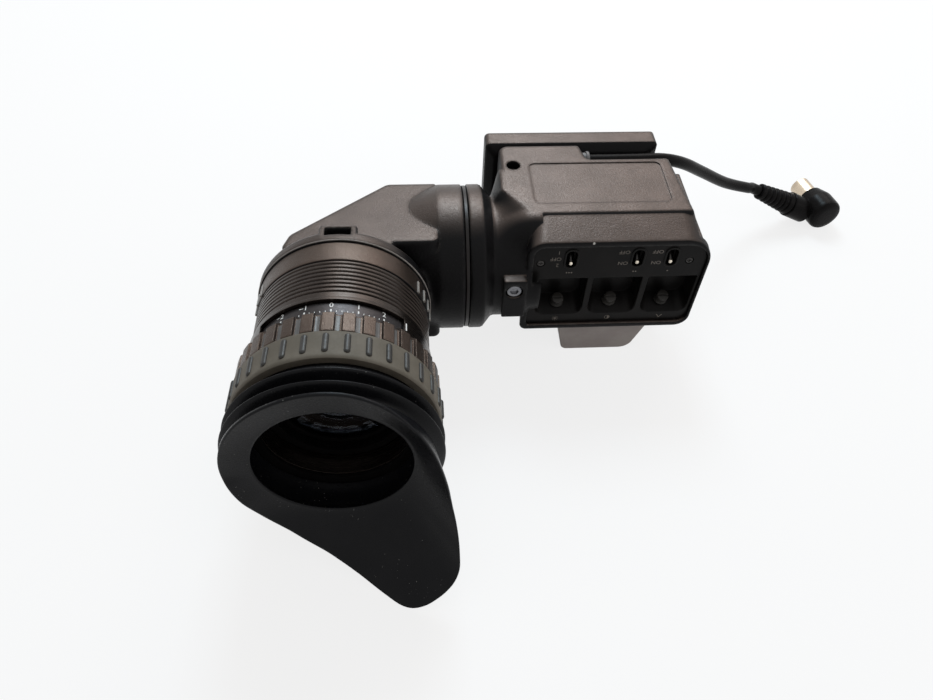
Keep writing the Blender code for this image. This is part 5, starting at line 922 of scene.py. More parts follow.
inner_room = box(0.0290, 0.0890, -0.0096, 0.0245, -0.0210, 0.0280)
switch_room = box(0.0310, 0.0880, POCKET_BACK - PAST, -0.0076, 0.0100, 0.0230)
cap_seat = box(0.0920, 0.1002, -0.0183, 0.0272, 0.0082, 0.0325)
GLAND_Y, GLAND_Z = 0.0321, 0.0252
gland_hole = placed(rod(0.0037, 0.0475, 0.0555, 32, "X"), shift(0, GLAND_Y, GLAND_Z))
housing = machined(
    body_block, [neck, front_block, flare(), clamp_boss],
    [
        light_way, inner_room, control_recess, switch_room, top_bed, casing_hole, clamp_pocket, cap_seat,
        gland_hole, *plate_holes,
    ],
)
finish_piece(
    "housing_casting", housing, housing_frame, "housing", housing_paint, ["housing_shell"],
)

# %% [markdown]
# Three covers close the housing: a moulded end cap on the right that follows the block's
# outline, a thick plate behind with a chamfered rim, which carries the mount, and under the
# controls a grey cover for the tally lamp.

# %% Covers and plate
cap_outline = rounded([
    (0.0923, 0.0085), (BLOCK_RIGHT + CLEAR, 0.0085), (BLOCK_RIGHT + CLEAR, -0.0045), (0.0988, -0.0045),
    (0.0994, 0.0110), (0.0967, 0.0195), (0.0939, 0.0245), (0.0923, 0.0245),
], [0, 0, 0, 0, 0.0070, 0.0070, 0.0011, 0], 8)
end_cap = eased(prism(cap_outline, -0.0180, 0.0230, "Y"), 0.0004, 3, 50)
finish_piece("end_cap", end_cap, housing_frame, "housing", housing_paint, ["side_cover"])

PLATE_FACE, PLATE_BACK, PLATE_LOW, PLATE_TOP = 0.0373, 0.0475, -0.0400, 0.0290
inner_rim = rounded(rectangle(0.0148, 0.0835, PLATE_LOW + 0.0038, PLATE_TOP - 0.0038), 0.0022, 8)
outer_rim = rounded(rectangle(0.0110, 0.0873, PLATE_LOW, PLATE_TOP), 0.0022, 8)
plate_layers = layered("Y", (inner_rim, PLATE_FACE), (outer_rim, 0.0400), (outer_rim, PLATE_BACK))
plate_blank = eased(plate_layers, 0.0005, 3, 30)
screw_recess = [
    (0, PLATE_FACE - PAST), (0.0018, PLATE_FACE - PAST), (0.0018, PLATE_BACK - 0.0025),
    (0.0032, PLATE_BACK - 0.0025), (0.0032, PLATE_BACK + PAST), (0, PLATE_BACK + PAST),
]
groove = box(0.0580, 0.0780, PLATE_BACK - 0.0025, PLATE_BACK + PAST, PLATE_LOW - PAST, 0.0120)
plate = machined(plate_blank, [], [groove, *cuts_at(SCREW_PLACES, lambda: turned(screw_recess, 48, "Y"))])
finish_piece("mounting_plate", plate, housing_frame, "housing", housing_paint, ["mount_plate"])

lamp_low, lamp_top = -0.0400, BODY_LOW - CLEAR
lamp_outline = rounded([
    (0.0410, lamp_top), (0.0445, lamp_low), (0.0752, lamp_low), (0.0810, lamp_top),
], [0, 0.0030, 0.0062, 0], 10)
lamp_room = rounded([
    (0.0442, lamp_top + PAST), (0.0461, lamp_low + 0.0016), (0.0736, lamp_low + 0.0016),
    (0.0778, lamp_top + PAST),
], [0, 0.0014, 0.0046, 0], 6)
lamp_shell = eased(prism(lamp_outline, -0.0205, -0.0030, "Y"), 0.0007, 4, 60)
lamp_cover = machined(lamp_shell, [], [prism(lamp_room, -0.0189, -0.0046, "Y")])
finish_piece("lamp_cover", lamp_cover, housing_frame, "housing", lamp_grey, ["tally_cover"])

# %% [markdown]
# The control panel is one black moulding let into the block: three deep wells with rounded
# floors for the trimmer knobs, and three raised rims round the switch slots. Each well is
# a lofted cup joined to the back of the panel and then hollowed.

# %% Control panel
WELLS = [0.0396 + 0.0230 * i for i in range(3)]
WELL_LOW, WELL_BACK_LOW, WELL_BACK = -0.0153, -0.0112, -0.0117
KNOB_SEAT = -0.0152
SLOTS, SLOT_Z = (0.0415, 0.0685, 0.0822), 0.0175
SEAT_LEFT, SEAT_RIGHT, SEAT_Z = 0.0293, 0.0900, 0.0152


def well_outline(half, low, grown=0.0):
    """A well's outline: square at the top, round at the floor."""
    return rounded(
        rectangle(-half - grown, half + grown, low - grown, 0.0065 + grown),
        [0.0042 + grown, 0.0042 + grown, 0.0008, 0.0008], 10,
    )


def well_floor(y):
    """The height of a well's sloping floor at a depth."""
    return WELL_LOW + (y - PANEL_FACE) * (WELL_BACK_LOW - WELL_LOW) / (WELL_BACK - PANEL_FACE)


panel_joins, panel_cuts = [], []
for x in WELLS:
    cup = layered(
        "Y", (well_outline(0.0101, WELL_LOW, 0.0009), PANEL_FACE + CLEAR),
        (well_outline(0.0096, WELL_BACK_LOW, 0.0009), WELL_BACK + 0.0009),
    )
    panel_joins.append(placed(cup, shift(x)))
for x in SLOTS:
    rim = rounded(rectangle(-0.0030, 0.0030, -0.0053, 0.0053), 0.00285, 12)
    rim_top = rounded(rectangle(-0.0028, 0.0028, -0.0051, 0.0051), 0.00265, 12)
    soft_rim = layered("Y", (rim_top, PANEL_FACE - 0.0005), (rim, PANEL_FACE - 0.0003), (rim, PANEL_FACE + CLEAR))
    panel_joins.append(placed(soft_rim, shift(x, 0, SLOT_Z)))
for x in WELLS:
    lip = layered(
        "Y", (well_outline(0.0106, -0.0157), PANEL_FACE - 0.0002),
        (well_outline(0.0102, WELL_LOW), PANEL_FACE + 0.0004), (well_outline(0.0096, WELL_BACK_LOW), WELL_BACK),
    )
    panel_cuts.append(placed(lip, shift(x)))
    stem = placed(rod(0.0015, -0.0029, 0.0010, 24), shift(x, KNOB_SEAT, well_floor(KNOB_SEAT)) @ spun(25, "X"))
    panel_cuts.append(stem)
slot = rounded(rectangle(-0.0022, 0.0022, -0.0045, 0.0045), 0.00205, 12)
slot_places = [(x, 0, SLOT_Z) for x in SLOTS]
panel_cuts += cuts_at(slot_places, lambda: prism(slot, PANEL_FACE - PAST, PANEL_FACE + 0.004, "Y"))
screw_seats = ((SEAT_LEFT, 0, SEAT_Z), (SEAT_RIGHT, 0, SEAT_Z))
panel_cuts += cuts_at(screw_seats, lambda: rod(0.0018, PANEL_FACE - PAST, PANEL_FACE + 0.0010, 32, "Y"))
panel_plate = prism(pocket_outline(PANEL_LEFT, CLEAR), PANEL_FACE, PANEL_FACE + 0.0020, "Y")
panel = machined(panel_plate, panel_joins, panel_cuts)
finish_piece("panel_moulding", panel, housing_frame, "housing", black_plastic, ["control_panel"])

# %% [markdown]
# Knobs, levers and screw heads are small turnings. A knob has a flange, a slotted tip and a
# soft edge. A lever is a dark cranked shank with a bright ball on its end. All three of each
# kind are alike, so each is made by one function, in the frame of its own axis.

# %% Knobs, levers and screws


def trimmer_knob():
    """A slotted trimmer knob on the axis Z, its flange at the bottom."""
    profile = [
        (0, -0.0012), (0.0012, -0.0012), (0.0012, CLEAR), (0.0028, CLEAR), (0.0030, 0.0005), (0.0030, 0.0009),
        (0.0028, 0.0011), (0.0026, 0.0013), (0.0025, 0.0016), (0.0025, 0.0040), (0.0024, 0.0043),
        (0.0021, 0.0044), (0, 0.0044),
    ]
    return machined(turned(profile, 48), [], [box(-0.0028, 0.0028, -0.00035, 0.00035, 0.0037, 0.0060)])


def arc(radius, angles, y=0.0):
    """Points on a circle round (0, y), at angles in radians."""
    return [(radius * math.cos(angle), y + radius * math.sin(angle)) for angle in angles]


def switch_lever():
    """A cranked lever on the axis Z, pivoted at the origin: its shank."""
    around = [math.tau * k / 20 for k in range(20)]
    bends = ((0, -0.0009, 0.0008), (0, 0.0024, 0.0008), (-0.0003, 0.0034, 0.0007), (-0.0011, 0.0048, 0.0007))
    return loft(*(lifted(arc(radius, around, y), z, "Z") for y, z, radius in bends))


def lever_tip():
    """The bright ball on the lever's cranked end."""
    radius = 0.00095
    ball = arc(radius, [math.pi * k / 14 for k in range(-6, 7)])
    return placed(turned([(0, -radius)] + ball + [(0, radius)], 24), shift(0, -0.0015, 0.0052))


def cross_screw(radius, height):
    """A domed screw head facing -Y, with a cross cut in it, its face at y = 0."""
    head = rod(radius, 0, height, 40, "Y", radius * 0.14)
    blade = radius * 0.17
    reach = radius * 0.66
    upright = box(-blade, blade, -0.001, height * 0.6, -reach, reach)
    return machined(head, [], [box(-reach, reach, -0.001, height * 0.6, -blade, blade), upright])


TRIMMERS, SWITCHES = ("bright", "contrast", "peaking"), ("tally", "marker_a", "marker_b")
for name, x in zip(TRIMMERS, WELLS):
    axis = housing_frame @ shift(x, KNOB_SEAT, well_floor(KNOB_SEAT)) @ spun(25, "X")
    knob = f"knob_{name}"
    finish_piece(f"trimmer_{knob}", trimmer_knob(), axis, knob, knob_plastic, [knob])
for name, x in zip(SWITCHES, SLOTS):
    pivot = housing_frame @ shift(x, PANEL_FACE + 0.0050, SLOT_Z) @ spun(102, "X")
    finish_piece(
        f"bat_lever_{name}", switch_lever(), pivot, f"lever_{name}", black_metal,
        [f"switch_lever_{name}"],
    )
    finish_piece(f"bat_tip_{name}", lever_tip(), pivot, f"lever_{name}", bright_metal)
fascia_screws = repeated(cross_screw(0.00145, 0.0007), 2, black_metal, (SEAT_RIGHT - SEAT_LEFT, 0, 0))
finish_piece(
    "fascia_screws", fascia_screws, housing_frame @ shift(SEAT_LEFT, PANEL_FACE, SEAT_Z), "housing", black_metal,
    ["panel_screw_left", "panel_screw_right"],
)
casing_screw = placed(cross_screw(0.0025, 0.0022), spun(-90, "X"))
finish_piece(
    "top_screw", casing_screw, housing_frame @ shift(*CASING_HOLE, 0.0274), "housing", black_metal,
    ["casing_screw"],
)
clamp_head = machined(rod(0.0030, 0, 0.0014, 48, "Y", 0.0004), [], [rod(0.0018, -0.001, 0.0009, 6, "Y")])
finish_piece(
    "clamp_cap_screw", clamp_head, housing_frame @ shift(CLAMP_X, -0.0265, CLAMP_Z), "housing", worn_metal,
    ["clamp_screw"],
)

# %% [markdown]
# The eyepiece starts at a base ring that meets the elbow's flange. It carries a hinge knuckle
# underneath, a pocket for the latch on top, and four grip bars at each side. The bars are one
# small form that the tree repeats at a fixed angle.

# %% Base ring, grip bars and latch
BASE_BACK, BASE_SOCKET, EYE_BORE = FLANGE_FRONT + CLEAR, 0.0348, 0.0240
base_profile = [
    (EYE_BORE, BASE_BACK), (BASE_RADIUS - 0.0003, BASE_BACK), (BASE_RADIUS, BASE_BACK + 0.0002),
    (BASE_RADIUS + 0.0002, BASE_BACK + 0.0008), (BASE_RADIUS + 0.0001, BASE_FRONT - 0.0008),
    (BASE_RADIUS - 0.0001, BASE_FRONT - 0.0002), (BASE_RADIUS - 0.0004, BASE_FRONT), (0.0303, BASE_FRONT),
    (0.0303, BASE_SOCKET), (EYE_BORE, BASE_SOCKET),
]
knuckle = rounded([
    (-0.0300, BASE_BACK), (-HINGE_DROP + HINGE_ROUND, BASE_BACK),
    (-HINGE_DROP + HINGE_ROUND, HINGE_REACH - HINGE_ROUND),
    (-HINGE_DROP - HINGE_ROUND, HINGE_REACH - HINGE_ROUND),
    (-HINGE_DROP - HINGE_ROUND, HINGE_REACH + HINGE_ROUND), (-HINGE_DROP, BASE_BACK + 0.0036),
    (-0.0300, BASE_BACK + 0.0072),
], [0, 0, HINGE_ROUND * 0.9, HINGE_ROUND * 0.9, HINGE_ROUND * 0.9, 0, 0], 8)
base_ring = machined(
    turned(base_profile, 160), [prism(knuckle, -0.0047, 0.0047, "X")],
    [
        placed(rod(PIN_RADIUS, -0.0067, 0.0067, 24, "X"), shift(0, -HINGE_DROP, HINGE_REACH)),
        box(-0.0051, 0.0051, 0.0280, 0.0317, BASE_BACK - PAST, 0.0343),
    ],
)
finish_piece("base_ring", base_ring, eyepiece_frame, "eyepiece", ring_paint, ["eyepiece_base"])
bar = eased(box(BASE_RADIUS - 0.0004, BASE_RADIUS + 0.0006, -0.00055, 0.00055, 0.0348, 0.0410), 0.0002, 2)
for side, first, turn in (("right", 2.6, 8.7), ("left", 177.4, -8.7)):
    bars = repeated(bar.copy(), 4, grip_grey, first=first, turn=turn)
    finish_piece(f"grip_bars_{side}", bars, eyepiece_frame, "eyepiece", grip_grey)
catch = eased(box(-0.0048, 0.0048, 0.0295, 0.0314, 0.0253, 0.0340), 0.0003, 3)
catch_ridge = eased(box(-0.0036, 0.0036, 0.0312, 0.0316, 0.0256, 0.0259), 0.0001, 1)
ridges = repeated(catch_ridge, 4, black_metal, (0, 0, 0.0007))
finish_piece(
    "latch_slide", machined(catch, [ridges]), eyepiece_frame, "latch", black_metal,
    ["latch_catch"],
)

# %% [markdown]
# The barrel is turned from one bar: eight fine grooves to grip, a plain band, and a thin hood
# over the dioptre scale with a window cut in it. A white bar beside the window is the index.

# %% Grooved barrel with its hood
BARREL, BARREL_BORE, BARREL_TUBE, BARREL_END = 0.0328, 0.0260, 0.0286, 0.0920
HOOD, HOOD_BORE, HOOD_FLOOR, HOOD_END = 0.0334, 0.0325, 0.0628, 0.0694
profile = [
    (BARREL_BORE, BASE_SOCKET + CLEAR), (0.0300, BASE_SOCKET + CLEAR), (0.0300, BASE_FRONT + CLEAR),
    (BARREL - 0.0002, BASE_FRONT + CLEAR), (BARREL, BASE_FRONT + 2 * CLEAR),
]
GROOVES, FIRST_GROOVE, GROOVE_PITCH = 8, 0.0427, 0.0021
for i in range(GROOVES):
    at = FIRST_GROOVE + GROOVE_PITCH * i
    profile += [
        (BARREL, at), (BARREL - 0.0005, at + 0.0002), (BARREL - 0.0009, at + 0.00055),
        (BARREL - 0.0005, at + 0.0009), (BARREL, at + 0.0011),
    ]
profile += [
    (BARREL, 0.0608), (HOOD - 0.0001, 0.0613), (HOOD, 0.0616), (HOOD, HOOD_END - 0.0002),
    (HOOD - 0.0002, HOOD_END), (HOOD_BORE, HOOD_END), (HOOD_BORE, HOOD_FLOOR), (BARREL_TUBE, HOOD_FLOOR),
    (BARREL_TUBE, BARREL_END), (BARREL_BORE, BARREL_END),
]
SCALE = 0.0321
window = turned([
    (SCALE + CLEAR / 2, HOOD_FLOOR), (HOOD + PAST, HOOD_FLOOR), (HOOD + PAST, HOOD_END + PAST),
    (SCALE + CLEAR / 2, HOOD_END + PAST),
], 80, "Z", 43.5, 140 - 43.5)
barrel = machined(turned(profile, 180), [], [window])
finish_piece("barrel", barrel, eyepiece_frame, "eyepiece", barrel_metal, ["grooved_barrel"])
index_bar = eased(box(HOOD - 0.0002, HOOD + 0.00006, -0.00028, 0.00028, 0.0643, 0.0679), 0.00003, 1)
finish_piece(
    "index_bar", placed(index_bar, spun(42, "Z")), eyepiece_frame, "eyepiece", white_mark,
)

# %% [markdown]
# The scale is a black enamel ring with white marks printed on it: numbers from -2 to 2, and
# four small ticks between each pair. A letter is a flat curve with a hair of thickness, made
# a mesh first and then laid on the ring at its own angle.

# %% Dioptre scale


INK = 0.00008
CAPITAL_SHARE = 0.69


def lettering(words, height):
    """Flat letters in the plane XY, centred, with the given height of a capital."""
    curve = bpy.data.curves.new("letters", "FONT")
    curve.body = words
    curve.size = height / CAPITAL_SHARE
    curve.extrude = INK / 2
    curve.resolution_u = 3
    curve.align_x = "CENTER"
    curve.align_y = "CENTER"
    return evaluated(new_object("letters", curve))


def on_ring(angle, radius, place):
    """A matrix that lays flat letters on a ring round Z, their tops toward -Z."""
    turn = math.radians(angle)
    out = Vector((math.cos(turn), math.sin(turn), 0))
    along = Vector((math.sin(turn), -math.cos(turn), 0))
    down = Vector((0, 0, -1))
    at = out * radius + Vector((0, 0, place))
    return Matrix.Translation(at) @ Matrix((along, down, out)).transposed().to_4x4()


scale_ring = ring(0.0289, SCALE, 0.0631, 0.0696, 0.0002, 160)
finish_piece("scale_ring", scale_ring, eyepiece_frame, "dioptre", enamel, ["dioptre_scale"])
ZERO, DIOPTRE_STEP = 89.9, 16.4
marks = bmesh.new()


def add_to(mesh, other):
    """The other mesh added to the first, without merging."""
    data = bpy.data.meshes.new("part")
    other.to_mesh(data)
    other.free()
    mesh.from_mesh(data)
    bpy.data.meshes.remove(data)


for number in (-2, -1, 0, 1, 2):
    angle = ZERO - DIOPTRE_STEP * number
    words = str(number).replace("-", "−")
    add_to(marks, placed(lettering(words, 0.0021), on_ring(angle + (1.0 if number < 0 else 0), SCALE, 0.0646)))
tick = box(SCALE - 0.0001, SCALE + 0.00004, -0.00011, 0.00011, 0.0672, 0.0679)
dot = box(SCALE - 0.0001, SCALE + 0.00004, -0.00026, 0.00026, 0.0666, 0.0677)
add_to(marks, repeated(tick, 25, white_mark, first=ZERO - 2.4 * DIOPTRE_STEP, turn=DIOPTRE_STEP / 5))
add_to(marks, repeated(dot, 5, white_mark, first=ZERO - 2 * DIOPTRE_STEP, turn=DIOPTRE_STEP))
finish_piece("scale_marks", marks, eyepiece_frame, "dioptre", white_mark, weighted=False)

# %% [markdown]
# The focus ring has thirty-three lands with a hollow flute between each pair, and the rubber
# ring behind it as many round-ended ribs. Each is a form of one pitch, a little under 11
# degrees wide, that the tree repeats. The flute's sector closes on the next one, so the ring
# comes out whole. A thin grey skin on one side of each flute is a painted highlight, the light
# that the hollow catches.

# %% Fluted ring
FLUTE_START, FLUTE_END, FLUTE_RADIUS, FLUTES = 0.0699, 0.0807, 0.0360, 33
PITCH = 360 / FLUTES
FIRST_FLUTE = 90 - 0.285 * PITCH
FLUTE_FROM, FLUTE_TO, FLUTE_MIDDLE, FLUTE_HALF, FLOOR_SHARE = 0.57, 0.99, 0.78, 0.21, 0.86
WALL_DEPTH, HOLLOW = 0.0011, 0.00022


def flute_depth(share):
    """How far a point at a share of the pitch lies under the land: steep walls and a round floor."""
    if share < FLUTE_FROM or share > FLUTE_TO:
        return 0.0
    across = (share - FLUTE_MIDDLE) / FLUTE_HALF
    if abs(across) > FLOOR_SHARE:
        return WALL_DEPTH * (1 - abs(across)) / (1 - FLOOR_SHARE)
    return WALL_DEPTH + HOLLOW * (1 - (across / FLOOR_SHARE) ** 2)


def sector(profile_at, shares, bore):
    """One pitch of a ring: a closed section at each share of the pitch, joined along it."""
    mesh = bmesh.new()
    rows = []
    for share in shares:
        turn = math.radians(PITCH * share)
        section = profile_at(share)
        section = [(bore, section[0][1])] + section + [(bore, section[-1][1])]
        rows.append([mesh.verts.new((r * math.cos(turn), r * math.sin(turn), z)) for r, z in section])
    join_rows(mesh, rows)
    return mesh


def closed_ring(mesh):
    """The sector repeated all round, its seams merged and its faces turned outward."""
    whole = repeated(mesh, FLUTES, ring_paint, first=FIRST_FLUTE, turn=PITCH)
    bmesh.ops.remove_doubles(whole, verts=whole.verts, dist=2e-6)
    bmesh.ops.recalc_face_normals(whole, faces=whole.faces)
    return whole


def fluted_section(share):
    """The focus ring's section at a share of the pitch."""
    depth = flute_depth(share)
    nose = 0.0342
    return [
        (nose - 0.0003 - depth * 0.9, FLUTE_START), (nose - depth, FLUTE_START + 0.0003),
        (FLUTE_RADIUS - 0.0003 - depth, FLUTE_START + 0.0018), (FLUTE_RADIUS - depth, FLUTE_START + 0.0022),
        (FLUTE_RADIUS - depth, FLUTE_END - 0.0008), (FLUTE_RADIUS - 0.0002 - depth * 0.8, FLUTE_END - 0.0003),
        (FLUTE_RADIUS - 0.0007 - depth * 0.5, FLUTE_END),
    ]


flute_shares = [
    0.0, 0.02, 0.2, 0.4, 0.55, 0.57, 0.585, 0.60, 0.64, 0.68,
    0.73, 0.78, 0.83, 0.88, 0.92, 0.96, 0.975, 0.99, 1.0,
]
fluted_ring = closed_ring(sector(fluted_section, flute_shares, 0.0289))
finish_piece(
    "focus_ring", fluted_ring, eyepiece_frame, "dioptre", ring_paint, ["dioptre_ring"],
    sharp=30,
)


def flute_skin(share):
    """A thin pale skin in a flute: a painted highlight on the side of the hollow that catches the light."""
    radius = FLUTE_RADIUS - flute_depth(share) + 0.00004
    return [(radius, FLUTE_START + 0.0026), (radius, FLUTE_END - 0.0011)]


# Painted highlight: the pale skin lies on the side of each flute that catches the light.
highlight_skin = sector(flute_skin, [0.70, 0.73, 0.76, 0.79, 0.82, 0.85, 0.88, 0.91, 0.935], 0.0340)
ends = [e for e in highlight_skin.edges if e.is_boundary]
bmesh.ops.holes_fill(highlight_skin, edges=ends, sides=0)
bmesh.ops.recalc_face_normals(highlight_skin, faces=highlight_skin.faces)
flutes = repeated(highlight_skin, FLUTES, flute_highlight_grey, first=FIRST_FLUTE, turn=PITCH)
finish_piece("worn_flutes", flutes, eyepiece_frame, "dioptre", flute_highlight_grey)

# %% [markdown]
# The rubber ring grips the eyecup's holder. Its ribs stop short of both edges in round ends,
# and the front edge rolls over toward the eyecup.

# %% Rubber ring and its ribs
RIBBED_START, RIBBED_END, RIBBED = 0.0810, 0.0925, 0.0363
rubber_profile = [
    (0.0333, RIBBED_START), (RIBBED - 0.0003, RIBBED_START), (RIBBED - 0.0001, RIBBED_START + 0.0001),
    (RIBBED, RIBBED_START + 0.0004), (RIBBED, RIBBED_END - 0.0016), (RIBBED - 0.0001, RIBBED_END - 0.0009),
    (RIBBED - 0.0003, RIBBED_END - 0.0004), (RIBBED - 0.0006, RIBBED_END), (0.0333, RIBBED_END),
]
finish_piece(
    "rubber_band", turned(rubber_profile, 180), eyepiece_frame, "eyecup", ring_rubber,
    ["rubber_ring"],
)


def capsule_rib():
    """One rib: a half-round bar with round ends, proud of the ring."""
    low, high, half, tall = RIBBED_START + 0.0012, RIBBED_END - 0.0020, 0.00105, 0.0008
    rings = []
    for level in range(5):
        lean = math.pi / 2 * level / 4.6
        reach, lift = half * math.cos(lean), tall * math.sin(lean)
        outline = rounded(rectangle(-reach, reach, low + half - reach, high - half + reach), reach * 0.98, 6)
        rings.append([(RIBBED + lift, a, b) for a, b in outline])
    base = [(RIBBED - 0.0008, y, z) for _, y, z in rings[0]]
    return loft(base, *rings)


ribs = repeated(capsule_rib(), FLUTES, rib_rubber, first=90.0, turn=PITCH)
finish_piece("rubber_ribs", ribs, eyepiece_frame, "eyecup", rib_rubber, sharp=60)
holder_profile = [
    (0.0289, 0.0810), (0.0330, 0.0810), (0.0330, 0.0940), (0.0309, 0.0940), (0.0309, 0.0920), (0.0289, 0.0920),
]
finish_piece(
    "cup_holder", turned(holder_profile, 120), eyepiece_frame, "eyecup", matte_black,
    ["eyecup_holder"],
)

# %% [markdown]
# The eyecup is the hardest form here: a soft bellows of two ridges, a face that falls in to the
# opening like a funnel, and a flap that grows out of one side to shade the eye. One section is
# swept round the eyepiece axis, and its outer end follows a curve that gives the rim's reach
# and lift at every angle, from tables in degrees and hundredths of a millimetre. The Hermite
# curve keeps the rim smooth between the measured points.

# %% Eyecup
RIM_ANGLES = (
    -175, -166, -152, -137, -121, -110, -99, -91, -84, -79, -74, -69, -65,
    -60, -55, -50, -45, -40, -35, -30, -25, -19, -15, -10, 0, 10,
    20, 30, 40, 50, 60, 75, 90, 105, 120, 135, 150, 165,
)
RIM_REACHES = (
    40, 50, 90, 140, 220, 380, 610, 860, 1140, 1390, 1670, 1950, 2070,
    2110, 2070, 2000, 1890, 1680, 1350, 1040, 760, 480, 340, 210, 50, -30,
    -60, -70, -70, -60, -40, -20, -10, 0, 10, 10, -10, -20,
)
RIM_LIFTS = (
    20, 70, 105, 100, 230, 420, 680, 980, 1330, 1650, 2010, 2370, 2530,
    2550, 2480, 2380, 2240, 2055, 1790, 1505, 1280, 1090, 1000, 930, 900, 870,
    770, 630, 480, 320, 180, 70, 55, 100, 160, 180, 150, 80,
)
HUNDREDTHS = 100000
RIM_RADIUS, RIM_PLACE, CUP_FACE, MOUTH = 0.0362, 0.1077, 0.1070, 0.0272


def rim_place(angle):
    """The reach and the lift of the rim at an angle, on a smooth curve through its tables."""
    count = len(RIM_ANGLES)
    angle = (angle - RIM_ANGLES[0]) % 360 + RIM_ANGLES[0]
    i = max(k for k in range(count) if RIM_ANGLES[k] <= angle)
    turns = [RIM_ANGLES[(i + k) % count] + 360 * ((i + k) // count) for k in (-1, 0, 1, 2)]
    t = (angle - turns[1]) / (turns[2] - turns[1])
    found = []
    for table in (RIM_REACHES, RIM_LIFTS):
        before, first, last, after = (table[(i + k) % count] / HUNDREDTHS for k in (-1, 0, 1, 2))
        span = turns[2] - turns[1]
        slope = (last - before) * span / (turns[2] - turns[0])
        next_slope = (after - first) * span / (turns[3] - turns[1])
        level = first * (1 + 2 * t) * (1 - t) ** 2 + slope * t * (1 - t) ** 2
        found.append(level + last * t * t * (3 - 2 * t) + next_slope * t * t * (t - 1))
    return found


def bellows():
    """The outside from the back edge to the flap's root: two round ridges, two deep valleys."""
    steps, start, end = 44, 0.0963, 0.10575
    land, valley, swell, ridge_width, ridges = 0.0345, 0.0330, 0.0041, 0.00265, (0.0978, 0.1031)
    points = [(0.0342, 0.0943), (land, 0.0946), (land, 0.0958)]
    for k in range(steps + 1):
        place = start + (end - start) * k / steps
        reach = valley
        for ridge in ridges:
            share = (place - ridge) / ridge_width
            reach = max(reach, valley + swell * math.exp(-((share / 0.5) ** 2)))
        if place < ridges[0]:
            reach = max(reach, land)
        points.append((reach, place))
    return points


OUTSIDE = bellows()
INSIDE = [
    (0.0290, 0.0943), (0.0296, 0.0960), (0.0305, 0.0985), (0.0305, 0.1025), (0.0300, 0.1045), (0.0287, 0.1055),
    (0.0272, 0.1060), (0.0265, 0.1063), (0.0264, 0.1066), (0.0266, 0.1069), (MOUTH, CUP_FACE),
]
FACE_STEPS, BACK_STEPS, CUP_STEPS = 18, 14, 360
ROOT, ROOT_PLACE = 0.0342, 0.10635
FACE_CURVE, LIP, LIP_DEPTH = 1.25, 0.0004, 0.0011
cup = bmesh.new()
rows = []
for k in range(CUP_STEPS):
    angle = 360 * k / CUP_STEPS
    reach, lift = rim_place(angle)
    rim, place = RIM_RADIUS + reach, RIM_PLACE + lift
    section = list(INSIDE)
    for j in range(1, FACE_STEPS + 1):
        share = j / FACE_STEPS
        section.append((MOUTH + (rim - MOUTH) * share, CUP_FACE + (place - CUP_FACE) * share**FACE_CURVE))
    section += [
        (rim + 0.00025, place - 0.00010), (rim + 0.00038, place - 0.00035), (rim + LIP, place - LIP_DEPTH),
    ]
    for j in range(1, BACK_STEPS + 1):
        share = j / BACK_STEPS
        back = rim + LIP + (ROOT - rim - LIP) * share
        section.append((back, place - LIP_DEPTH + (ROOT_PLACE - place + LIP_DEPTH) * share))
    section += reversed(OUTSIDE)
    turn = math.radians(angle)
    rows.append([cup.verts.new((r * math.cos(turn), r * math.sin(turn), z)) for r, z in section])
join_rows(cup, rows, around=True)
bmesh.ops.recalc_face_normals(cup, faces=cup.faces)
finish_piece(
    "eyecup_and_flap", cup, eyepiece_frame, "eyecup", eyecup_rubber, ["eyecup"], sharp=60,
    weighted=False,
)

# %% [markdown]
# The cord leaves a small gland behind the flat top and runs down behind the housing to a
# right-angle plug. Its route repeats the model's own points, read from a smooth curve, because
# a cord has one length and no kinks. The gland is a turning.

# %% Cord and gland
CORD_RADIUS, CORD_START = 0.0027, 0.0559
ROUTE = (
    (CORD_START, GLAND_Y, GLAND_Z), (0.0620, GLAND_Y, GLAND_Z), (0.0760, 0.0320, 0.0253),
    (0.0890, 0.0332, 0.0245), (0.1010, 0.0380, 0.0185), (0.1145, 0.0460, 0.0075), (0.1330, 0.0560, -0.0072),
    (0.1500, 0.0630, -0.0165),
)
relief_start, plug_neck = Vector((0.1573, 0.0646, -0.0200)), Vector((0.1815, 0.0645, -0.0313))
relief_aim = (plug_neck - relief_start).normalized()


def smooth_route(points, samples):
    """Evenly shared points on a smooth curve through the route's own points."""
    points = [Vector(point) for point in points]
    ends = [2 * points[0] - points[1]] + points + [2 * points[-1] - points[-2]]
    fine = []
    for a, b, c, d in zip(ends, ends[1:], ends[2:], ends[3:]):
        for j in range(24):
            t = j / 24
            bend = (a * 2 - b * 5 + c * 4 - d) * t * t / 2 + (b * 3 - a - c * 3 + d) * t * t * t / 2
            fine.append(b + (c - a) * t / 2 + bend)
    fine.append(points[-1])
    length = [0.0]
    for one, two in zip(fine, fine[1:]):
        length.append(length[-1] + (two - one).length)
    even, i = [], 0
    for k in range(samples):
        want = length[-1] * k / (samples - 1)
        while i < len(fine) - 2 and length[i + 1] < want:
            i += 1
        step = length[i + 1] - length[i]
        even.append(fine[i].lerp(fine[i + 1], clamped((want - length[i]) / step)))
    return even, length[-1]


